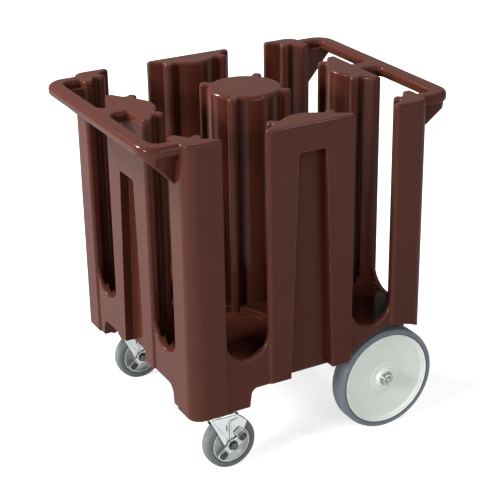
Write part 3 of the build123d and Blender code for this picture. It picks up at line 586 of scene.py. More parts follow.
def ring_points(radius: float, count: int) -> list[Spot]:
    """Points of a circle about the origin, in order."""
    turns = [2 * math.pi * i / count for i in range(count)]
    return [(radius * math.cos(t), radius * math.sin(t)) for t in turns]


def axial_matrix(x: float, y: float, z: float, side: int) -> Matrix:
    """Matrix from local (across, outward, up) millimetres to the world, outward along side * Y."""
    return Matrix(
        ((side * MM, 0, 0, x * MM), (0, side * MM, 0, y * MM), (0, 0, MM, z * MM), (0, 0, 0, 1))
    )


def lathe(build: bmesh.types.BMesh, profile: Sequence[Spot], matrix: Matrix, steps: int) -> None:
    """Turn a closed profile about the local outward axis.

    Args:
        build: Geometry that the turned piece is added to.
        profile: Closed outline of (outward, radius) points in millimetres.
        matrix: From local millimetres to the world.
        steps: Segments round the axis.
    """
    rings = []
    for outward, radius in profile:
        if radius < TINY:
            rings.append([build.verts.new(matrix @ Vector((0.0, outward, 0.0)))])
            continue
        rings.append([
            build.verts.new(matrix @ Vector((radius * math.cos(t), outward, radius * math.sin(t))))
            for t in (2 * math.pi * i / steps for i in range(steps))
        ])
    for first, second in zip(rings, rings[1:] + rings[:1]):
        if len(first) == 1 and len(second) == 1:
            continue
        for i in range(steps):
            k = (i + 1) % steps
            if len(first) == 1:
                build.faces.new((first[0], second[i], second[k]))
            elif len(second) == 1:
                build.faces.new((first[i], first[k], second[0]))
            else:
                build.faces.new((first[i], first[k], second[k], second[i]))


def sheet_metal(
    build: bmesh.types.BMesh, outline: Sequence[Spot], low: float, high: float, matrix: Matrix,
    holes: Sequence[Sequence[Spot]] = (), edge: float = 0.5,
) -> None:
    """Plate with rounded rims, cut from an outline in the local across-up plane.

    Args:
        build: Geometry that the plate is added to.
        outline: Outside of the plate in millimetres.
        low: Inner face, along the local outward axis.
        high: Outer face.
        matrix: From local millimetres to the world.
        holes: Outlines of the holes.
        edge: Rounding of the rims in millimetres.
    """
    plate = bmesh.new()
    rims = []
    for loop in (outline, *holes):
        corners = [plate.verts.new((u, low, v)) for u, v in loop]
        rims += [plate.edges.new((a, b)) for a, b in zip(corners, corners[1:] + corners[:1])]
    bmesh.ops.triangle_fill(plate, edges=rims, use_beauty=True)
    raised = bmesh.ops.extrude_face_region(plate, geom=plate.faces[:])
    lifted = [item for item in raised["geom"] if isinstance(item, bmesh.types.BMVert)]
    bmesh.ops.translate(plate, verts=lifted, vec=(0.0, high - low, 0.0))
    plate.normal_update()
    rim_edges = [
        e for e in plate.edges
        if e.is_manifold and e.calc_face_angle(0.0) > math.radians(RIM_DEGREES)
        and abs(e.verts[0].co.y - e.verts[1].co.y) < TINY
    ]
    bmesh.ops.bevel(
        plate, geom=rim_edges, offset=edge, segments=2, profile=RIM_PROFILE, affect="EDGES",
        clamp_overlap=True,
    )
    bmesh.ops.transform(plate, matrix=matrix, verts=plate.verts[:])
    bmesh.ops.recalc_face_normals(plate, faces=plate.faces)
    holder = bpy.data.meshes.new("plate")
    plate.to_mesh(holder)
    plate.free()
    build.from_mesh(holder)
    bpy.data.meshes.remove(holder)


def hexagon(
    build: bmesh.types.BMesh, flat_half: float, low: float, high: float, matrix: Matrix, bore: float = 0.0,
) -> None:
    """Hexagon nut or head with chamfered corners.

    Args:
        build: Geometry that it is added to.
        flat_half: Half the width across the flats, in millimetres.
        low: Seated face, along the local outward axis.
        high: Outer face.
        matrix: From local millimetres to the world.
        bore: Radius of the hole, or nought for a closed head.
    """
    turns = [2 * math.pi * i / HEXAGON_STEPS for i in range(HEXAGON_STEPS)]
    reach = [flat_half / math.cos((t % (math.pi / 3)) - math.pi / 6) for t in turns]
    lift = [(r - flat_half) * CHAMFER_SLOPE for r in reach]

    def ring(radii: Sequence[float], levels: Sequence[float]) -> list[bmesh.types.BMVert]:
        """Vertices round the axis at the given radii and levels."""
        spots = [Vector((r * math.cos(t), y, r * math.sin(t))) for r, t, y in zip(radii, turns, levels)]
        return [build.verts.new(matrix @ spot) for spot in spots]

    def circle(radius: float, level: float) -> list[bmesh.types.BMVert]:
        """Vertices on a circle about the axis."""
        return ring([radius] * HEXAGON_STEPS, [level] * HEXAGON_STEPS)

    rings = [
        circle(flat_half * 0.97, low),
        ring(reach, [low + up for up in lift]),
        ring(reach, [high - up for up in lift]),
        circle(flat_half * 0.95, high),
    ]
    if bore > 0:
        outer, inner = BORE_CHAMFERS
        rings += [
            circle(bore + outer, high), circle(bore, high - outer), circle(bore, low + inner),
            circle(bore + inner, low),
        ]
    else:
        rings.append(circle(flat_half * 0.5, high))
    for first, second in zip(rings, rings[1:] + (rings[:1] if bore > 0 else [])):
        for i in range(HEXAGON_STEPS):
            k = (i + 1) % HEXAGON_STEPS
            build.faces.new((first[i], first[k], second[k], second[i]))
    if bore <= 0:
        build.faces.new(rings[-1])
        build.faces.new(rings[0])


# ---------------------------------------------------------------- repeats by Geometry Nodes


class Repeat(Enum):
    """How a template is repeated, and the name of the node tree that does it."""

    LINE = "repeat_on_line"
    ROUND = "repeat_round_axis"


def repeat_tree(how: Repeat) -> bpy.types.NodeTree:
    """Node tree that repeats a template along a line or round a circle.

    Args:
        how: On a line, or round the local Z axis.

    Returns:
        The tree, with inputs Template, Count, Start, Step (line) or Radius (circle), and Finish.
    """
    tree = bpy.data.node_groups.new(how.value, "GeometryNodeTree")
    tree.is_modifier = True
    for label, kind in (
        ("Geometry", "Geometry"), ("Template", "Object"), ("Count", "Int"), ("Start", "Vector"),
        ("Step", "Vector"), ("Radius", "Float"), ("Finish", "Material"),
    ):
        tree.interface.new_socket(label, in_out="INPUT", socket_type=f"NodeSocket{kind}")
    tree.interface.new_socket("Geometry", in_out="OUTPUT", socket_type="NodeSocketGeometry")
    graph = Graph(tree)
    entry = graph.node("NodeGroupInput")
    leave = graph.node("NodeGroupOutput")
    template = graph.node("GeometryNodeObjectInfo", {"Object": entry.outputs["Template"]}).outputs["Geometry"]
    if how is Repeat.ROUND:
        circle = graph.node(
            "GeometryNodeMeshCircle", {"Vertices": entry.outputs["Count"], "Radius": entry.outputs["Radius"]}
        )
        place = graph.node("GeometryNodeInputPosition")
        turn = graph.node(
            "FunctionNodeAlignRotationToVector", {"Vector": place.outputs[0]}, axis="X", pivot_axis="Z"
        )
        copies = graph.node(
            "GeometryNodeInstanceOnPoints",
            {"Points": circle.outputs["Mesh"], "Instance": template, "Rotation": turn.outputs[0]},
        )
        copies = graph.node(
            "GeometryNodeTransform", {"Geometry": copies.outputs[0], "Translation": entry.outputs["Start"]}
        )
    else:
        line = graph.node(
            "GeometryNodeMeshLine",
            {"Count": entry.outputs["Count"], "Start Location": entry.outputs["Start"],
             "Offset": entry.outputs["Step"]},
        )
        copies = graph.node(
            "GeometryNodeInstanceOnPoints", {"Points": line.outputs["Mesh"], "Instance": template}
        )
    whole = graph.node("GeometryNodeRealizeInstances", {"Geometry": copies.outputs[0]})
    finish = graph.node(
        "GeometryNodeSetMaterial", {"Geometry": whole.outputs[0], "Material": entry.outputs["Finish"]}
    )
    tree.links.new(finish.outputs[0], leave.inputs["Geometry"])
    return tree


class Repeater:
    """Makes one mesh of many copies of a template by Geometry Nodes."""

    def __init__(self) -> None:
        """Build both node trees once."""
        self.trees = {how: repeat_tree(how) for how in Repeat}

    def run(
        self, name: str, how: Repeat, template: bpy.types.Object, count: int, finish: bpy.types.Material,
        start: Point = (0.0, 0.0, 0.0), step: Point = (0.0, 0.0, 0.0), radius: float = 0.0,
    ) -> bpy.types.Object:
        """Repeat the template and return the copies as one mesh object.

        Args:
            name: Name of the new piece.
            how: On a line, or round the local Z axis.
            template: The object that is copied, which is removed afterwards.
            count: Number of copies.
            finish: Material of the copies.
            start: First place of a line, or centre of a circle.
            step: From one place of a line to the next.
            radius: Radius of a circle.

        Returns:
            The object, in the units of its template.
        """
        tree = self.trees[how]
        carrier = bpy.data.objects.new(f"{name}_carrier", bpy.data.meshes.new("carrier"))
        bpy.context.scene.collection.objects.link(carrier)
        modifier = carrier.modifiers.new("repeat", "NODES")
        modifier.node_group = tree
        values = {
            "Template": template, "Count": count, "Start": start, "Step": step, "Radius": radius,
            "Finish": finish,
        }
        for socket in tree.interface.items_tree:
            if socket.in_out == "INPUT" and socket.name in values:
                modifier[socket.identifier] = values[socket.name]
        carrier.update_tag()
        bpy.context.view_layer.update()
        made = bpy.data.meshes.new_from_object(
            carrier.evaluated_get(bpy.context.evaluated_depsgraph_get())
        )
        made.name = name
        carrier.modifiers.clear()
        bpy.data.objects.remove(carrier)
        bpy.data.objects.remove(template)
        piece = bpy.data.objects.new(name, made)
        bpy.context.scene.collection.objects.link(piece)
        return piece


def join_into(target: bpy.types.Object, extra: bpy.types.Object) -> None:
    """Add another object's mesh to the target's, keeping the smooth faces, and remove it.

    Args:
        target: The object that grows.
        extra: The object that goes into it.
    """
    build = bmesh.new()
    build.from_mesh(target.data)
    build.from_mesh(extra.data)
    bmesh.ops.recalc_face_normals(build, faces=build.faces)
    build.to_mesh(target.data)
    build.free()
    bpy.data.objects.remove(extra)


# ---------------------------------------------------------------- pieces of the cart


@dataclass
class LargeWheel:
    """One large wheel: dished hub, cushion tyre, and the pressed cap on the axle's end.

    Attributes:
        name: "front" or "back".
        side: Outward direction along Y.
        paints: The finishes.
        repeater: Makes the cap's teeth.
        axle: Axle's place along X and above the floor, in millimetres.
        outer_face: Outer side of the tyre from the cart's middle.
        width: Width of the tyre.
        hub_radius: Outside of the hub.
        tyre_radius: Outside of the tyre.
        groove: Depth of the groove between tyre and hub.
        bush_radius: Bore of the hub.
        boss_radius: Outside of the boss on the hub's inner side.
        boss_back: Inner end of that boss, from the tyre's inner side.
        hub_step: Outer end of the hub below the tyre's outer side.
        web_step: Web below the tyre's outer side.
        web_back: Inner face of the web below the tyre's outer side.
        axle_radius: Bore of the cap.
        cap_gap: Gap between the hub and the cap.
        teeth: Number of gripping teeth in the cap.
        teeth_radius: Radius of their circle.
        steps: Segments round the wheel.
        cap_steps: Segments round the cap.
        made: Names of the finished pieces.
    """

    name: str
    side: int
    paints: Paintbox
    repeater: Repeater
    axle: Spot = (216.0, 127.0)
    outer_face: float = 281.0
    width: float = 45.0
    hub_radius: float = 112.5
    tyre_radius: float = 127.0
    groove: float = 2.2
    bush_radius: float = 12.0
    boss_radius: float = 21.0
    boss_back: float = -10.0
    hub_step: float = 2.0
    web_step: float = 8.0
    web_back: float = 15.0
    axle_radius: float = 8.05
    cap_gap: float = 0.3
    teeth: int = 10
    teeth_radius: float = 6.9
    steps: int = 180
    cap_steps: int = 72
    made: list[str] = field(default_factory=list)

    @property
    def matrix(self) -> Matrix:
        """From local millimetres, outward from the tyre's inner side, to the world."""
        return axial_matrix(self.axle[0], self.side * (self.outer_face - self.width), self.axle[1], self.side)

    def build_tyre(self) -> None:
        """Build the tyre: rounded shoulders, a parting line round the tread and a lip at the hub."""
        w, hub, out = self.width, self.hub_radius, self.tyre_radius
        shoulder = [
            (0.0, out - 9.0), (0.9, out - 4.6), (3.2, out - 1.6), (7.5, out - 0.25),
            (w / 2 - 1.2, out - 0.05), (w / 2 - 0.5, out),
        ]
        lip = [(w, hub + 3.0), (w - 0.5, hub + 2.2), (w - self.groove, hub + 1.8), (w - self.groove, hub)]
        mirrored = [(w - across, radius) for across, radius in reversed(shoulder)]
        build = bmesh.new()
        lathe(build, [(0.4, hub), (0.0, hub + 1.2), *shoulder, *mirrored, *lip], self.matrix, self.steps)
        self.finish_piece(mesh_object(f"{self.name}_wheel_tyre_moulded", build), "tyre")

    def build_hub(self) -> None:
        """Build the hub: a raised rim that the painted edge highlight makes bright, a shallow groove, a
        dished web and a stepped boss.
        """
        w, hub, bush = self.width, self.hub_radius, self.bush_radius
        web, back, end = w - self.web_step, w - self.web_back, w - self.hub_step
        profile = [
            (self.boss_back, bush), (self.boss_back, self.boss_radius), (back - 3.0, self.boss_radius),
            (back, hub - 9.0), (2.0, hub - 9.0), (2.0, hub), (w - 2.4, hub), (w - 0.6, hub - 0.5),
            (w - 0.4, hub - 1.8), (w - 2.2, hub - 3.0), (w - 3.2, hub - 4.2), (w - 3.8, hub - 7.5),
            (web + 0.6, hub - 10.5), (web + 0.2, hub - 13.0), (web - 3.0, 41.0), (web - 3.4, 39.0),
            (web - 2.2, 36.5), (web - 1.8, 34.5), (web - 2.0, 26.0), (web - 1.4, 24.2),
            (w - 3.6, 22.0), (end, 20.2), (end, bush),
        ]
        build = bmesh.new()
        lathe(build, soften(profile, 0.9, 2), self.matrix, self.steps)
        self.finish_piece(mesh_object(f"{self.name}_wheel_hub_moulded", build), "hub")

    def build_cap(self) -> None:
        """Build the pressed cap: rolled flange, domed ring, and a sunk middle with gripping teeth."""
        base = self.width - self.hub_step + self.cap_gap
        bore = self.axle_radius
        profile = [
            (base, bore), (base, 17.0), (base + 0.7, 17.5), (base + 1.5, 17.0), (base + 1.7, 14.9),
            (base + 3.0, 14.5), (base + 6.6, 14.0), (base + 7.8, 12.4), (base + 8.0, 11.0),
            (base + 7.7, 9.6), (base + 6.6, 8.8), (base + 6.5, 5.2), (base + 7.6, 4.6), (base + 8.0, 3.2),
            (base + 7.8, 0.0), (base + 6.3, 0.0), (base + 6.3, bore),
        ]
        build = bmesh.new()
        lathe(build, soften(profile, 0.4, 2), self.matrix, self.cap_steps)
        cap = mesh_object(f"{self.name}_wheel_cap_pressed", build)
        tooth = bmesh.new()
        lying = Matrix(((MM, 0, 0, 0), (0, 0, MM, 0), (0, MM, 0, 0), (0, 0, 0, 1)))
        outline = [(-1.0, -0.9), (1.0, -0.5), (1.0, 0.5), (-1.0, 0.9)]
        sheet_metal(tooth, outline, 0.0, 1.0, lying, edge=0.2)
        ring = self.repeater.run(
            f"{self.name}_cap_teeth", Repeat.ROUND, mesh_object("tooth", tooth), self.teeth,
            self.paints.materials["bright_cap"], radius=self.teeth_radius * MM,
        )
        upright = Matrix(((1 / MM, 0, 0, 0), (0, 0, 1 / MM, 0), (0, 1 / MM, 0, 0), (0, 0, 0, 1)))
        ring.data.transform(self.matrix @ Matrix.Translation((0.0, base + 6.4, 0.0)) @ upright)
        join_into(cap, ring)
        self.finish_piece(cap, "cap")

    def finish_piece(self, piece: bpy.types.Object, part: str) -> None:
        """Put one piece in place of its node, on the wheel or on the axle's body.

        Args:
            piece: The finished piece.
            part: End of its node's name.
        """
        node = f"{self.name}_wheel_{part}"
        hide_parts(node)
        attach(piece, "cart" if part == "cap" else f"{self.name}_wheel")
        self.paints.dress(piece, self.paints.slot_of[node])
        self.made.append(piece.name)

    def build(self) -> None:
        """Build every piece of the wheel."""
        self.build_tyre()
        self.build_hub()
        self.build_cap()
        log.info("large wheel %s: %s", self.name, ", ".join(self.made))


@dataclass(frozen=True)
class RibRow:
    """Gripping ribs of one kind, in millimetres.

    Attributes:
        name: Name of one rib.
        slot: Slot of their finish.
        length: Length of a rib.
        proud: Height of a rib over its face.
        foot: How deep a rib is sunk into its face.
    """

    name: str
    slot: str
    length: float
    proud: float
    foot: float = 0.3


TREAD_RIBS = RibRow("tread_rib", "bright_zinc", 11.5, 1.8)
PAD_RIBS = RibRow("pad_rib", "pad_rubber", 10.5, 1.5)


@dataclass
class Caster:
    """One braked swivel caster: tyre, hub, brake lever, pads, axle bolt, fork beads and plate screws.

    Attributes:
        name: "front" or "back".
        side: Side of the cart along Y.
        paints: The finishes.
        repeater: Makes the ribs and the rows of screws.
        kingpin: Kingpin's place along X, and from the cart's middle along Y, in millimetres.
        trail: Wheel's axle behind the kingpin.
        wheel_radius: Outside of the tyre.
        hub_radius: Outside of the hub.
        wheel_width: Width of the tyre.
        fork_half: Outer face of a cheek from the caster's middle.
        play: Gap between the cheek and the lever.
        lever_thickness: Thickness of the lever.
        lever_slope: Degrees that the lever stands up at rest.
        lever_half: Half the width of the lever.
        lever_ends: Both ends of the lever, along it from the axle.
        tread_tab: Near end, far end and outer edge of the tread's tab.
        pedals: Ends of the two rolled rims, along the lever.
        boss_radius: Round boss of the lever, about the axle.
        lever_bore: Hole of the lever.
        rim_half: Half the width of a rolled rim, outside and inside.
        rim_wall: Thickness of a rolled rim at its ends.
        rim_height: Height of a rolled rim over the lever's face.
        pad_middles: Middles of the pads along the lever.
        pad_half: Half the length and half the width of a pad.
        pad_height: Thickness of a pad.
        ribs_per_row: Ribs on the tread, and on each pad.
        rib_step: From one rib to the next.
        rib_half: Half the thickness of a rib.
        first_tread_rib: Middle of the tread's first rib, along the lever and across it.
        first_pad_rib: First rib of a pad before the pad's middle.
        bolt_radius: Radius of the axle bolt.
        bolt_play: Gap between the bolt and what it goes through.
        bolt_end: End of the bolt over the washer.
        nut_half: Half the width of its head and nut across the flats.
        head_height: Height of the bolt's head.
        nut_height: Height of the nut.
        washer_radius: Outside of the axle's washer.
        washer_thickness: Thickness of that washer.
        bead_edge: Bead's rear edge before the wheel's axle.
        bead_width: Width of a bead.
        bead_height: Height of a bead.
        plate_low: Under side of the plate above the floor.
        screw_drop: Lower end of the plate screws under the plate.
        screw_half: Half the width of their heads across the flats.
        screw_spread: Plate screws from the kingpin, along X and along Y.
        steps: Segments round the wheel.
        made: Names of the finished pieces.
    """

    name: str
    side: int
    paints: Paintbox
    repeater: Repeater
    kingpin: Spot = (-226.5, 242.0)
    trail: float = 38.0
    wheel_radius: float = 63.5
    hub_radius: float = 47.0
    wheel_width: float = 32.0
    fork_half: float = 20.5
    play: float = 0.3
    lever_thickness: float = 3.0
    lever_slope: float = 36.0
    lever_half: float = 10.0
    lever_ends: Spot = (-43.0, 40.0)
    tread_tab: Point = (20.5, 39.5, 24.0)
    pedals: tuple[Spot, Spot] = ((18.5, 39.6), (-42.6, -20.5))
    boss_radius: float = 15.0
    lever_bore: float = 5.4
    rim_half: Spot = (9.6, 8.2)
    rim_wall: float = 1.3
    rim_height: float = 3.4
    pad_middles: Spot = (30.0, -32.0)
    pad_half: Spot = (8.8, 7.8)
    pad_height: float = 5.0
    ribs_per_row: int = 4
    rib_step: float = 4.2
    rib_half: float = 0.85
    first_tread_rib: Spot = (23.7, 17.2)
    first_pad_rib: float = 6.3
    bolt_radius: float = 5.0
    bolt_play: float = 0.05
    bolt_end: float = 8.5
    nut_half: float = 7.8
    head_height: float = 6.5
    nut_height: float = 7.5
    washer_radius: float = 11.5
    washer_thickness: float = 1.5
    bead_edge: float = 5.0
    bead_width: float = 2.6
    bead_height: float = 2.2
    plate_low: float = 161.5
    screw_drop: float = 5.5
    screw_half: float = 5.6
    screw_spread: Spot = (38.0, 30.0)
    steps: int = 128
    made: list[str] = field(default_factory=list)

    @property
    def wheel_matrix(self) -> Matrix:
        """From local millimetres about the wheel's middle to the world, outward to the front."""
        x = self.kingpin[0] + self.trail
        return axial_matrix(x, self.side * self.kingpin[1], self.wheel_radius, -1)

    @property
    def lever_matrix(self) -> Matrix:
        """From local (along the lever, outward, across it) millimetres to the world.

        Returns:
            The matrix, with the lever standing up by its slope.
        """
        x, y = self.kingpin[0] + self.trail, self.side * self.kingpin[1]
        c, s = math.cos(math.radians(self.lever_slope)), math.sin(math.radians(self.lever_slope))
        return Matrix(
            ((c * MM, 0, -s * MM, x * MM), (0, -MM, 0, y * MM),
             (s * MM, 0, c * MM, self.wheel_radius * MM), (0, 0, 0, 1))
        )

    def build_wheel(self) -> None:
        """Build the rounded tyre with a parting line and a lip, and the hub with a rim and a dished web."""
        w, hub, out = self.wheel_width / 2, self.hub_radius, self.wheel_radius
        halves = {
            "tyre": [
                (w - 2.2, hub), (w - 1.8, hub + 0.9), (w - 0.2, hub + 1.8), (w, hub + 3.0), (w, out - 8.5),
                (w - 0.8, out - 5.2), (w - 2.6, out - 2.7), (w - 5.4, out - 1.1), (w - 9.0, out - 0.3),
                (1.0, out - 0.05), (0.4, out),
            ],
            "hub": [
                (17.2, 8.0), (17.2, 12.2), (16.4, 13.0), (8.6, 14.6), (7.4, 17.0), (7.0, 34.0), (8.4, 38.2),
                (w - 2.6, 41.6), (w - 0.6, 43.2), (w - 0.2, 44.4), (w - 0.4, hub - 1.0), (w - 2.2, hub),
            ],
        }
        for part, outer in halves.items():
            build = bmesh.new()
            inner = [(-across, radius) for across, radius in reversed(outer)]
            lathe(build, outer + inner, self.wheel_matrix, self.steps)
            self.finish_piece(mesh_object(f"{self.name}_caster_{part}_moulded", build), part)

    def lever_outline(self) -> list[Spot]:
        """Outline of the lever with its round boss and tread tab, along and across.

        Returns:
            The corners in order.
        """
        half, boss = self.lever_half, self.boss_radius
        (heel, toe), (near, far, top) = self.lever_ends, self.tread_tab
        flank = math.asin(half / boss)
        turns = [flank + (math.pi - 2 * flank) * i / BOSS_STEPS for i in range(BOSS_STEPS + 1)]
        upper = [(boss * math.cos(t), boss * math.sin(t)) for t in turns]
        lower = [(along, -across) for along, across in reversed(upper)]
        tab = [(toe, -half), (toe, 9.0), (far, 12.0), (far, top), (near, top), (near, half)]
        return [(heel, -half), *lower, *tab, *upper, (heel, half)]

    def build_lever(self) -> None:
        """Build the pressed lever with a rolled rim at each pedal and a ribbed tread."""
        low = self.fork_half + self.play
        high = low + self.lever_thickness
        matrix = self.lever_matrix
        build = bmesh.new()
        hole = ring_points(self.lever_bore, SCREW_STEPS)
        sheet_metal(build, soften(self.lever_outline(), 4.0, 5), low, high, matrix, holes=[hole], edge=0.6)
        a, b = self.rim_half
        for start, end in self.pedals:
            rim = soften([(start, -a), (end, -a), (end, a), (start, a)], 4.5, 5)
            near, far = start + self.rim_wall, end - self.rim_wall
            inside = soften([(near, -b), (far, -b), (far, b), (near, b)], 3.6, 5)
            sheet_metal(build, rim, high - 0.5, high + self.rim_height, matrix, holes=[inside], edge=0.4)
        lever = mesh_object(f"{self.name}_brake_lever_pressed", build)
        self.add_ribs(lever, TREAD_RIBS, high, self.first_tread_rib)
        self.finish_piece(lever, "brake_lever")

    def add_ribs(self, target: bpy.types.Object, row: RibRow, face: float, first: Spot) -> None:
        """Add a row of rounded gripping ribs to a piece of the lever.

        Args:
            target: The piece that they go into.
            row: The kind of rib.
            face: Face that they stand on, outward from the caster's middle.
            first: Middle of the first rib, along the lever and across it.
        """
        half, thin, foot = row.length / 2, self.rib_half, face - row.foot
        outline = soften([(-thin, -half), (thin, -half), (thin, half), (-thin, half)], 0.8, 3)
        rib = bmesh.new()
        sheet_metal(rib, outline, foot, foot + row.proud + row.foot, Matrix.Scale(MM, 4), edge=0.45)
        ribs = self.repeater.run(
            f"{self.name}_{row.name}s", Repeat.LINE, mesh_object(row.name, rib), self.ribs_per_row,
            self.paints.materials[row.slot], start=(first[0] * MM, 0.0, first[1] * MM),
            step=(self.rib_step * MM, 0.0, 0.0),
        )
        ribs.data.transform(self.lever_matrix @ Matrix.Scale(1 / MM, 4))
        join_into(target, ribs)

    def build_pads(self) -> None:
        """Build the two rubber pads with gripping ribs across them."""
        low = self.fork_half + self.play + self.lever_thickness
        high = low + self.pad_height
        a, b = self.pad_half
        build = bmesh.new()
        for middle in self.pad_middles:
            outline = [(middle - a, -b), (middle + a, -b), (middle + a, b), (middle - a, b)]
            outline = soften(outline, 6.4, 6)
            sheet_metal(build, outline, low, high, self.lever_matrix, edge=1.2)
        pads = mesh_object(f"{self.name}_brake_pads_ribbed", build)
        for middle in self.pad_middles:
            self.add_ribs(pads, PAD_RIBS, high, (middle - self.first_pad_rib, 0.0))
        self.finish_piece(pads, "brake_pads")

    def build_axle(self) -> None:
        """Build the axle bolt with its head and threaded end, the washer and the nut."""
        matrix, radius, bore = self.wheel_matrix, self.bolt_radius, self.bolt_radius + self.bolt_play
        seat = self.fork_half + 2 * self.play + self.lever_thickness + self.washer_thickness
        bolt = bmesh.new()
        thread = [(seat + 7.0 + 0.5 * i, radius - 0.35 * (i % 2)) for i in range(3)]
        head, end = -self.fork_half - 0.2, seat + self.bolt_end
        lathe(bolt, [(head, 0.0), (head, radius), *thread, (end, 4.2), (end, 0.0)], matrix, BOLT_STEPS)
        hexagon(bolt, self.nut_half, -self.fork_half - self.head_height, -self.fork_half, matrix)
        self.finish_piece(mesh_object(f"{self.name}_axle_bolt_turned", bolt), "axle_bolt")
        washer = bmesh.new()
        under = seat - self.washer_thickness
        ring = [(under, bore), (under, self.washer_radius), (seat, self.washer_radius), (seat, bore)]
        lathe(washer, soften(ring, 0.4, 3), matrix, WASHER_STEPS)
        self.finish_piece(mesh_object(f"{self.name}_axle_washer_turned", washer), "axle_washer")
        nut = bmesh.new()
        hexagon(nut, self.nut_half, seat, seat + self.nut_height, matrix, bore=bore)
        self.finish_piece(mesh_object(f"{self.name}_axle_nut_chamfered", nut), "axle_nut")

    def build_beads(self) -> None:
        """Build the rolled beads along the rear edge of the fork's cheeks and under its flange."""
        level, rear, width = self.fork_half + 1.0, self.trail - self.bead_edge, self.bead_width
        bead = [
            (rear - width, 80.0), (rear, 80.0), (rear, 124.0), (rear + 17.5, 128.0),
            (rear + 17.5, 128.0 + width), (rear - width, 124.0 + width),
        ]
        build = bmesh.new()
        for face in (-1, 1):
            matrix = axial_matrix(self.kingpin[0], self.side * self.kingpin[1], 0.0, face)
            outline = [(face * u, v) for u, v in bead]
            sheet_metal(build, outline, level, level + self.bead_height, matrix, edge=0.6)
        piece = mesh_object(f"{self.name}_caster_fork_beads", build)
        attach(piece, f"{self.name}_caster_swivel")
        self.paints.dress(piece, "bright_zinc")
        self.made.append(piece.name)

    def build_screws(self) -> None:
        """Build the four hexagon screws that hold the plate under the leg."""
        upward = Matrix(((MM, 0, 0, 0), (0, 0, -MM, 0), (0, MM, 0, 0), (0, 0, 0, 1)))
        collar_and_shank = [(4.2, 0.0), (4.2, 6.5), (5.5, 6.5), (5.5, 4.0), (32.9, 4.0), (32.9, 0.0)]
        along, across = self.screw_spread
        x, y, low = self.kingpin[0] - along, self.side * self.kingpin[1], self.plate_low - self.screw_drop
        rows = []
        for shift in (-across, across):
            screw = bmesh.new()
            hexagon(screw, self.screw_half, 0.0, 4.4, upward)
            lathe(screw, collar_and_shank, upward, SCREW_STEPS)
            rows.append(self.repeater.run(
                f"{self.name}_plate_screws", Repeat.LINE, mesh_object("screw", screw), 2,
                self.paints.materials["plated_steel"], start=(x * MM, (y + shift) * MM, low * MM),
                step=(2 * along * MM, 0.0, 0.0),
            ))
        join_into(*rows)
        self.finish_piece(rows[0], "plate_bolts")

    def finish_piece(self, piece: bpy.types.Object, part: str) -> None:
        """Put one piece in place of its node, on the body that the node moves with.

        Args:
            piece: The finished piece.
            part: End of its node's name.
        """
        node = f"{self.name}_caster_{part}"
        bodies = {
            "tyre": f"{self.name}_caster_wheel", "hub": f"{self.name}_caster_wheel",
            "brake_lever": f"{self.name}_brake", "brake_pads": f"{self.name}_brake",
            "plate_bolts": "cart",
        }
        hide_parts(node)
        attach(piece, bodies.get(part, f"{self.name}_caster_swivel"))
        self.paints.dress(piece, self.paints.slot_of[node])
        self.made.append(piece.name)

    def build(self) -> None:
        """Build every piece of the caster."""
        self.build_wheel()
        self.build_lever()
        self.build_pads()
        self.build_axle()
        self.build_beads()
        self.build_screws()
        log.info("caster %s: %s", self.name, ", ".join(self.made))


# ---------------------------------------------------------------- stage


def shown_rays(graph: Graph) -> Socket:
    """Find the rays that show the white background: seen directly, mirrored or through glass.

    Args:
        graph: The tree that the nodes go into.

    Returns:
        One for such a ray, and nought for any other.
    """
    rays = graph.node("ShaderNodeLightPath")
    seen = graph.math("ADD", rays.outputs["Is Camera Ray"], rays.outputs["Is Glossy Ray"], clamp=True)
    return graph.math("ADD", seen, rays.outputs["Is Transmission Ray"], clamp=True)


@dataclass(frozen=True)
class Lamp:
    """One soft area lamp, aimed at a point.

    Attributes:
        name: Name of the lamp.
        place: Where it stands, in metres.
        aim: The point it shines at.
        size: Side of its square in metres.
        power: Watts.
    """

    name: str
    place: Point
    aim: Point
    size: float
    power: float

    def build(self) -> None:
        """Make the lamp and link it to the scene."""
        data = bpy.data.lights.new(self.name, "AREA")
        data.shape = "SQUARE"
        data.size = self.size
        data.energy = self.power
        lamp = bpy.data.objects.new(self.name, data)
        lamp.location = self.place
        direction = Vector(self.aim) - Vector(self.place)
        lamp.rotation_euler = direction.to_track_quat("-Z", "Y").to_euler()
        bpy.context.scene.collection.objects.link(lamp)


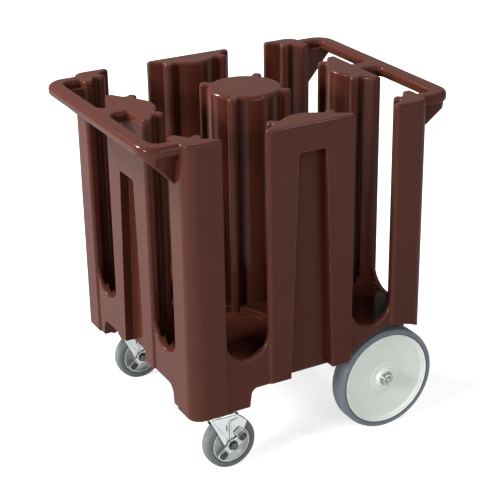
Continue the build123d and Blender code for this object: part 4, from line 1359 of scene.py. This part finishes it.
@dataclass(frozen=True)
class Stage:
    """Floor, background, lamps and camera.

    Attributes:
        camera_place: Where the camera stands, in metres.
        heading: Degrees that the view is turned from +Y towards +X.
        dip: Degrees that the view looks down.
        tilt: Degrees that the frame is turned about the line of sight.
        focal_pixels: Focal length in pixels of the square frame.
        floor_reach: Half the side of the floor in metres.
        floor_grey: Colour of the floor in the lamps' light.
        floor_glow: Glow of the floor that makes it white under the cart.
        glow_fade: Metres from the middle over which that glow grows to the background's.
        world_light: Strength of the even light from all round.
        lamps: The lamps.
    """

    camera_place: Point = (-1.445, -2.664, 1.754)
    heading: float = 28.59
    dip: float = 24.06
    tilt: float = -0.86
    focal_pixels: float = 1400.0
    floor_reach: float = 12.0
    floor_grey: float = 0.6
    floor_glow: float = 0.74
    glow_fade: Spot = (0.9, 3.0)
    world_light: float = 0.12
    lamps: tuple[Lamp, ...] = (
        Lamp("key_left", (-3.8, -0.9, 1.9), (0.0, 0.0, 0.4), 0.8, 165.0),
        Lamp("front_fill", (0.6, -4.2, 1.8), (0.0, 0.0, 0.4), 2.2, 72.0),
        Lamp("top_soft", (-1.9, 2.5, 3.2), (0.0, 0.0, 0.6), 0.9, 360.0),
        Lamp("rim_right", (1.9, -1.8, 3.9), (0.0, 0.0, 0.7), 0.4, 30.0),
    )

    def build_camera(self) -> None:
        """Make the camera at the photo's viewing angle."""
        data = bpy.data.cameras.new("camera")
        data.sensor_width = SENSOR_MM
        data.lens = self.focal_pixels * SENSOR_MM / PHOTO_PIXELS
        camera = bpy.data.objects.new("camera", data)
        heading, dip = math.radians(self.heading), math.radians(self.dip)
        sight = Vector(
            (math.sin(heading) * math.cos(dip), math.cos(heading) * math.cos(dip), -math.sin(dip))
        )
        turn = Quaternion((0.0, 0.0, 1.0), math.radians(self.tilt))
        camera.rotation_mode = "QUATERNION"
        camera.rotation_quaternion = sight.to_track_quat("-Z", "Y") @ turn
        camera.location = self.camera_place
        bpy.context.scene.collection.objects.link(camera)
        bpy.context.scene.camera = camera

    def build_world(self) -> None:
        """Make the plain white background, with a soft even light from all round."""
        world = bpy.data.worlds.new("studio")
        world.use_nodes = True
        bpy.context.scene.world = world
        graph = Graph(world.node_tree)
        world.node_tree.nodes.clear()
        white = (1.0, 1.0, 1.0)
        light = graph.node("ShaderNodeBackground", {"Color": white, "Strength": self.world_light})
        shown = graph.node("ShaderNodeBackground", {"Color": white, "Strength": 1.0})
        rays = shown_rays(graph)
        mix = graph.node("ShaderNodeMixShader", {0: rays, 1: light.outputs[0], 2: shown.outputs[0]})
        graph.node("ShaderNodeOutputWorld", {"Surface": mix.outputs[0]})

    def build_floor(self) -> None:
        """Make the floor, which shows as the white background but keeps the cart's shadow."""
        reach = self.floor_reach
        mesh = bpy.data.meshes.new("floor")
        corners = [(-reach, -reach, 0.0), (reach, -reach, 0.0), (reach, reach, 0.0), (-reach, reach, 0.0)]
        mesh.from_pydata(corners, [], [(0, 1, 2, 3)])
        floor = bpy.data.objects.new("floor", mesh)
        bpy.context.scene.collection.objects.link(floor)
        material = bpy.data.materials.new("white_floor")
        material.use_nodes = True
        graph = Graph(material.node_tree)
        nodes = material.node_tree.nodes
        surface = nodes["Principled BSDF"]
        surface.inputs["Base Color"].default_value = (*[self.floor_grey] * 3, 1.0)
        surface.inputs["Roughness"].default_value = 0.9
        surface.inputs["Specular IOR Level"].default_value = 0.0
        own = graph.node("ShaderNodeTexCoord").outputs["Object"]
        distance = graph.node("ShaderNodeVectorMath", {0: own}, operation="LENGTH")
        far = graph.spread(distance.outputs["Value"], *self.glow_fade)
        colour = graph.mix_colour(far, (self.floor_glow,) * 3, (1.0, 1.0, 1.0))
        glow = graph.node("ShaderNodeEmission", {"Color": colour, "Strength": 1.0})
        clear = graph.node("ShaderNodeBsdfTransparent", {"Color": (0.0, 0.0, 0.0)})
        rays = shown_rays(graph)
        lift = graph.node("ShaderNodeMixShader", {0: rays, 1: clear.outputs[0], 2: glow.outputs[0]})
        both = graph.node("ShaderNodeAddShader", {0: surface.outputs[0], 1: lift.outputs[0]})
        material.node_tree.links.new(both.outputs[0], nodes["Material Output"].inputs["Surface"])
        mesh.materials.append(material)

    def build(self) -> None:
        """Make the whole stage."""
        self.build_camera()
        self.build_world()
        self.build_floor()
        for lamp in self.lamps:
            lamp.build()
        bpy.context.scene.view_settings.view_transform = "Standard"


def main() -> None:
    """Build the stage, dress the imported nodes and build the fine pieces."""
    logging.basicConfig(level=logging.INFO, format="%(message)s")
    Stage().build()
    paints = Paintbox()
    for name in sorted(frame["nodes"]):
        paints.dress_node(name)
    repeater = Repeater()
    for name, side in (("front", -1), ("back", 1)):
        LargeWheel(name, side, paints, repeater).build()
        Caster(name, side, paints, repeater).build()


if __name__ == "__main__":
    main()
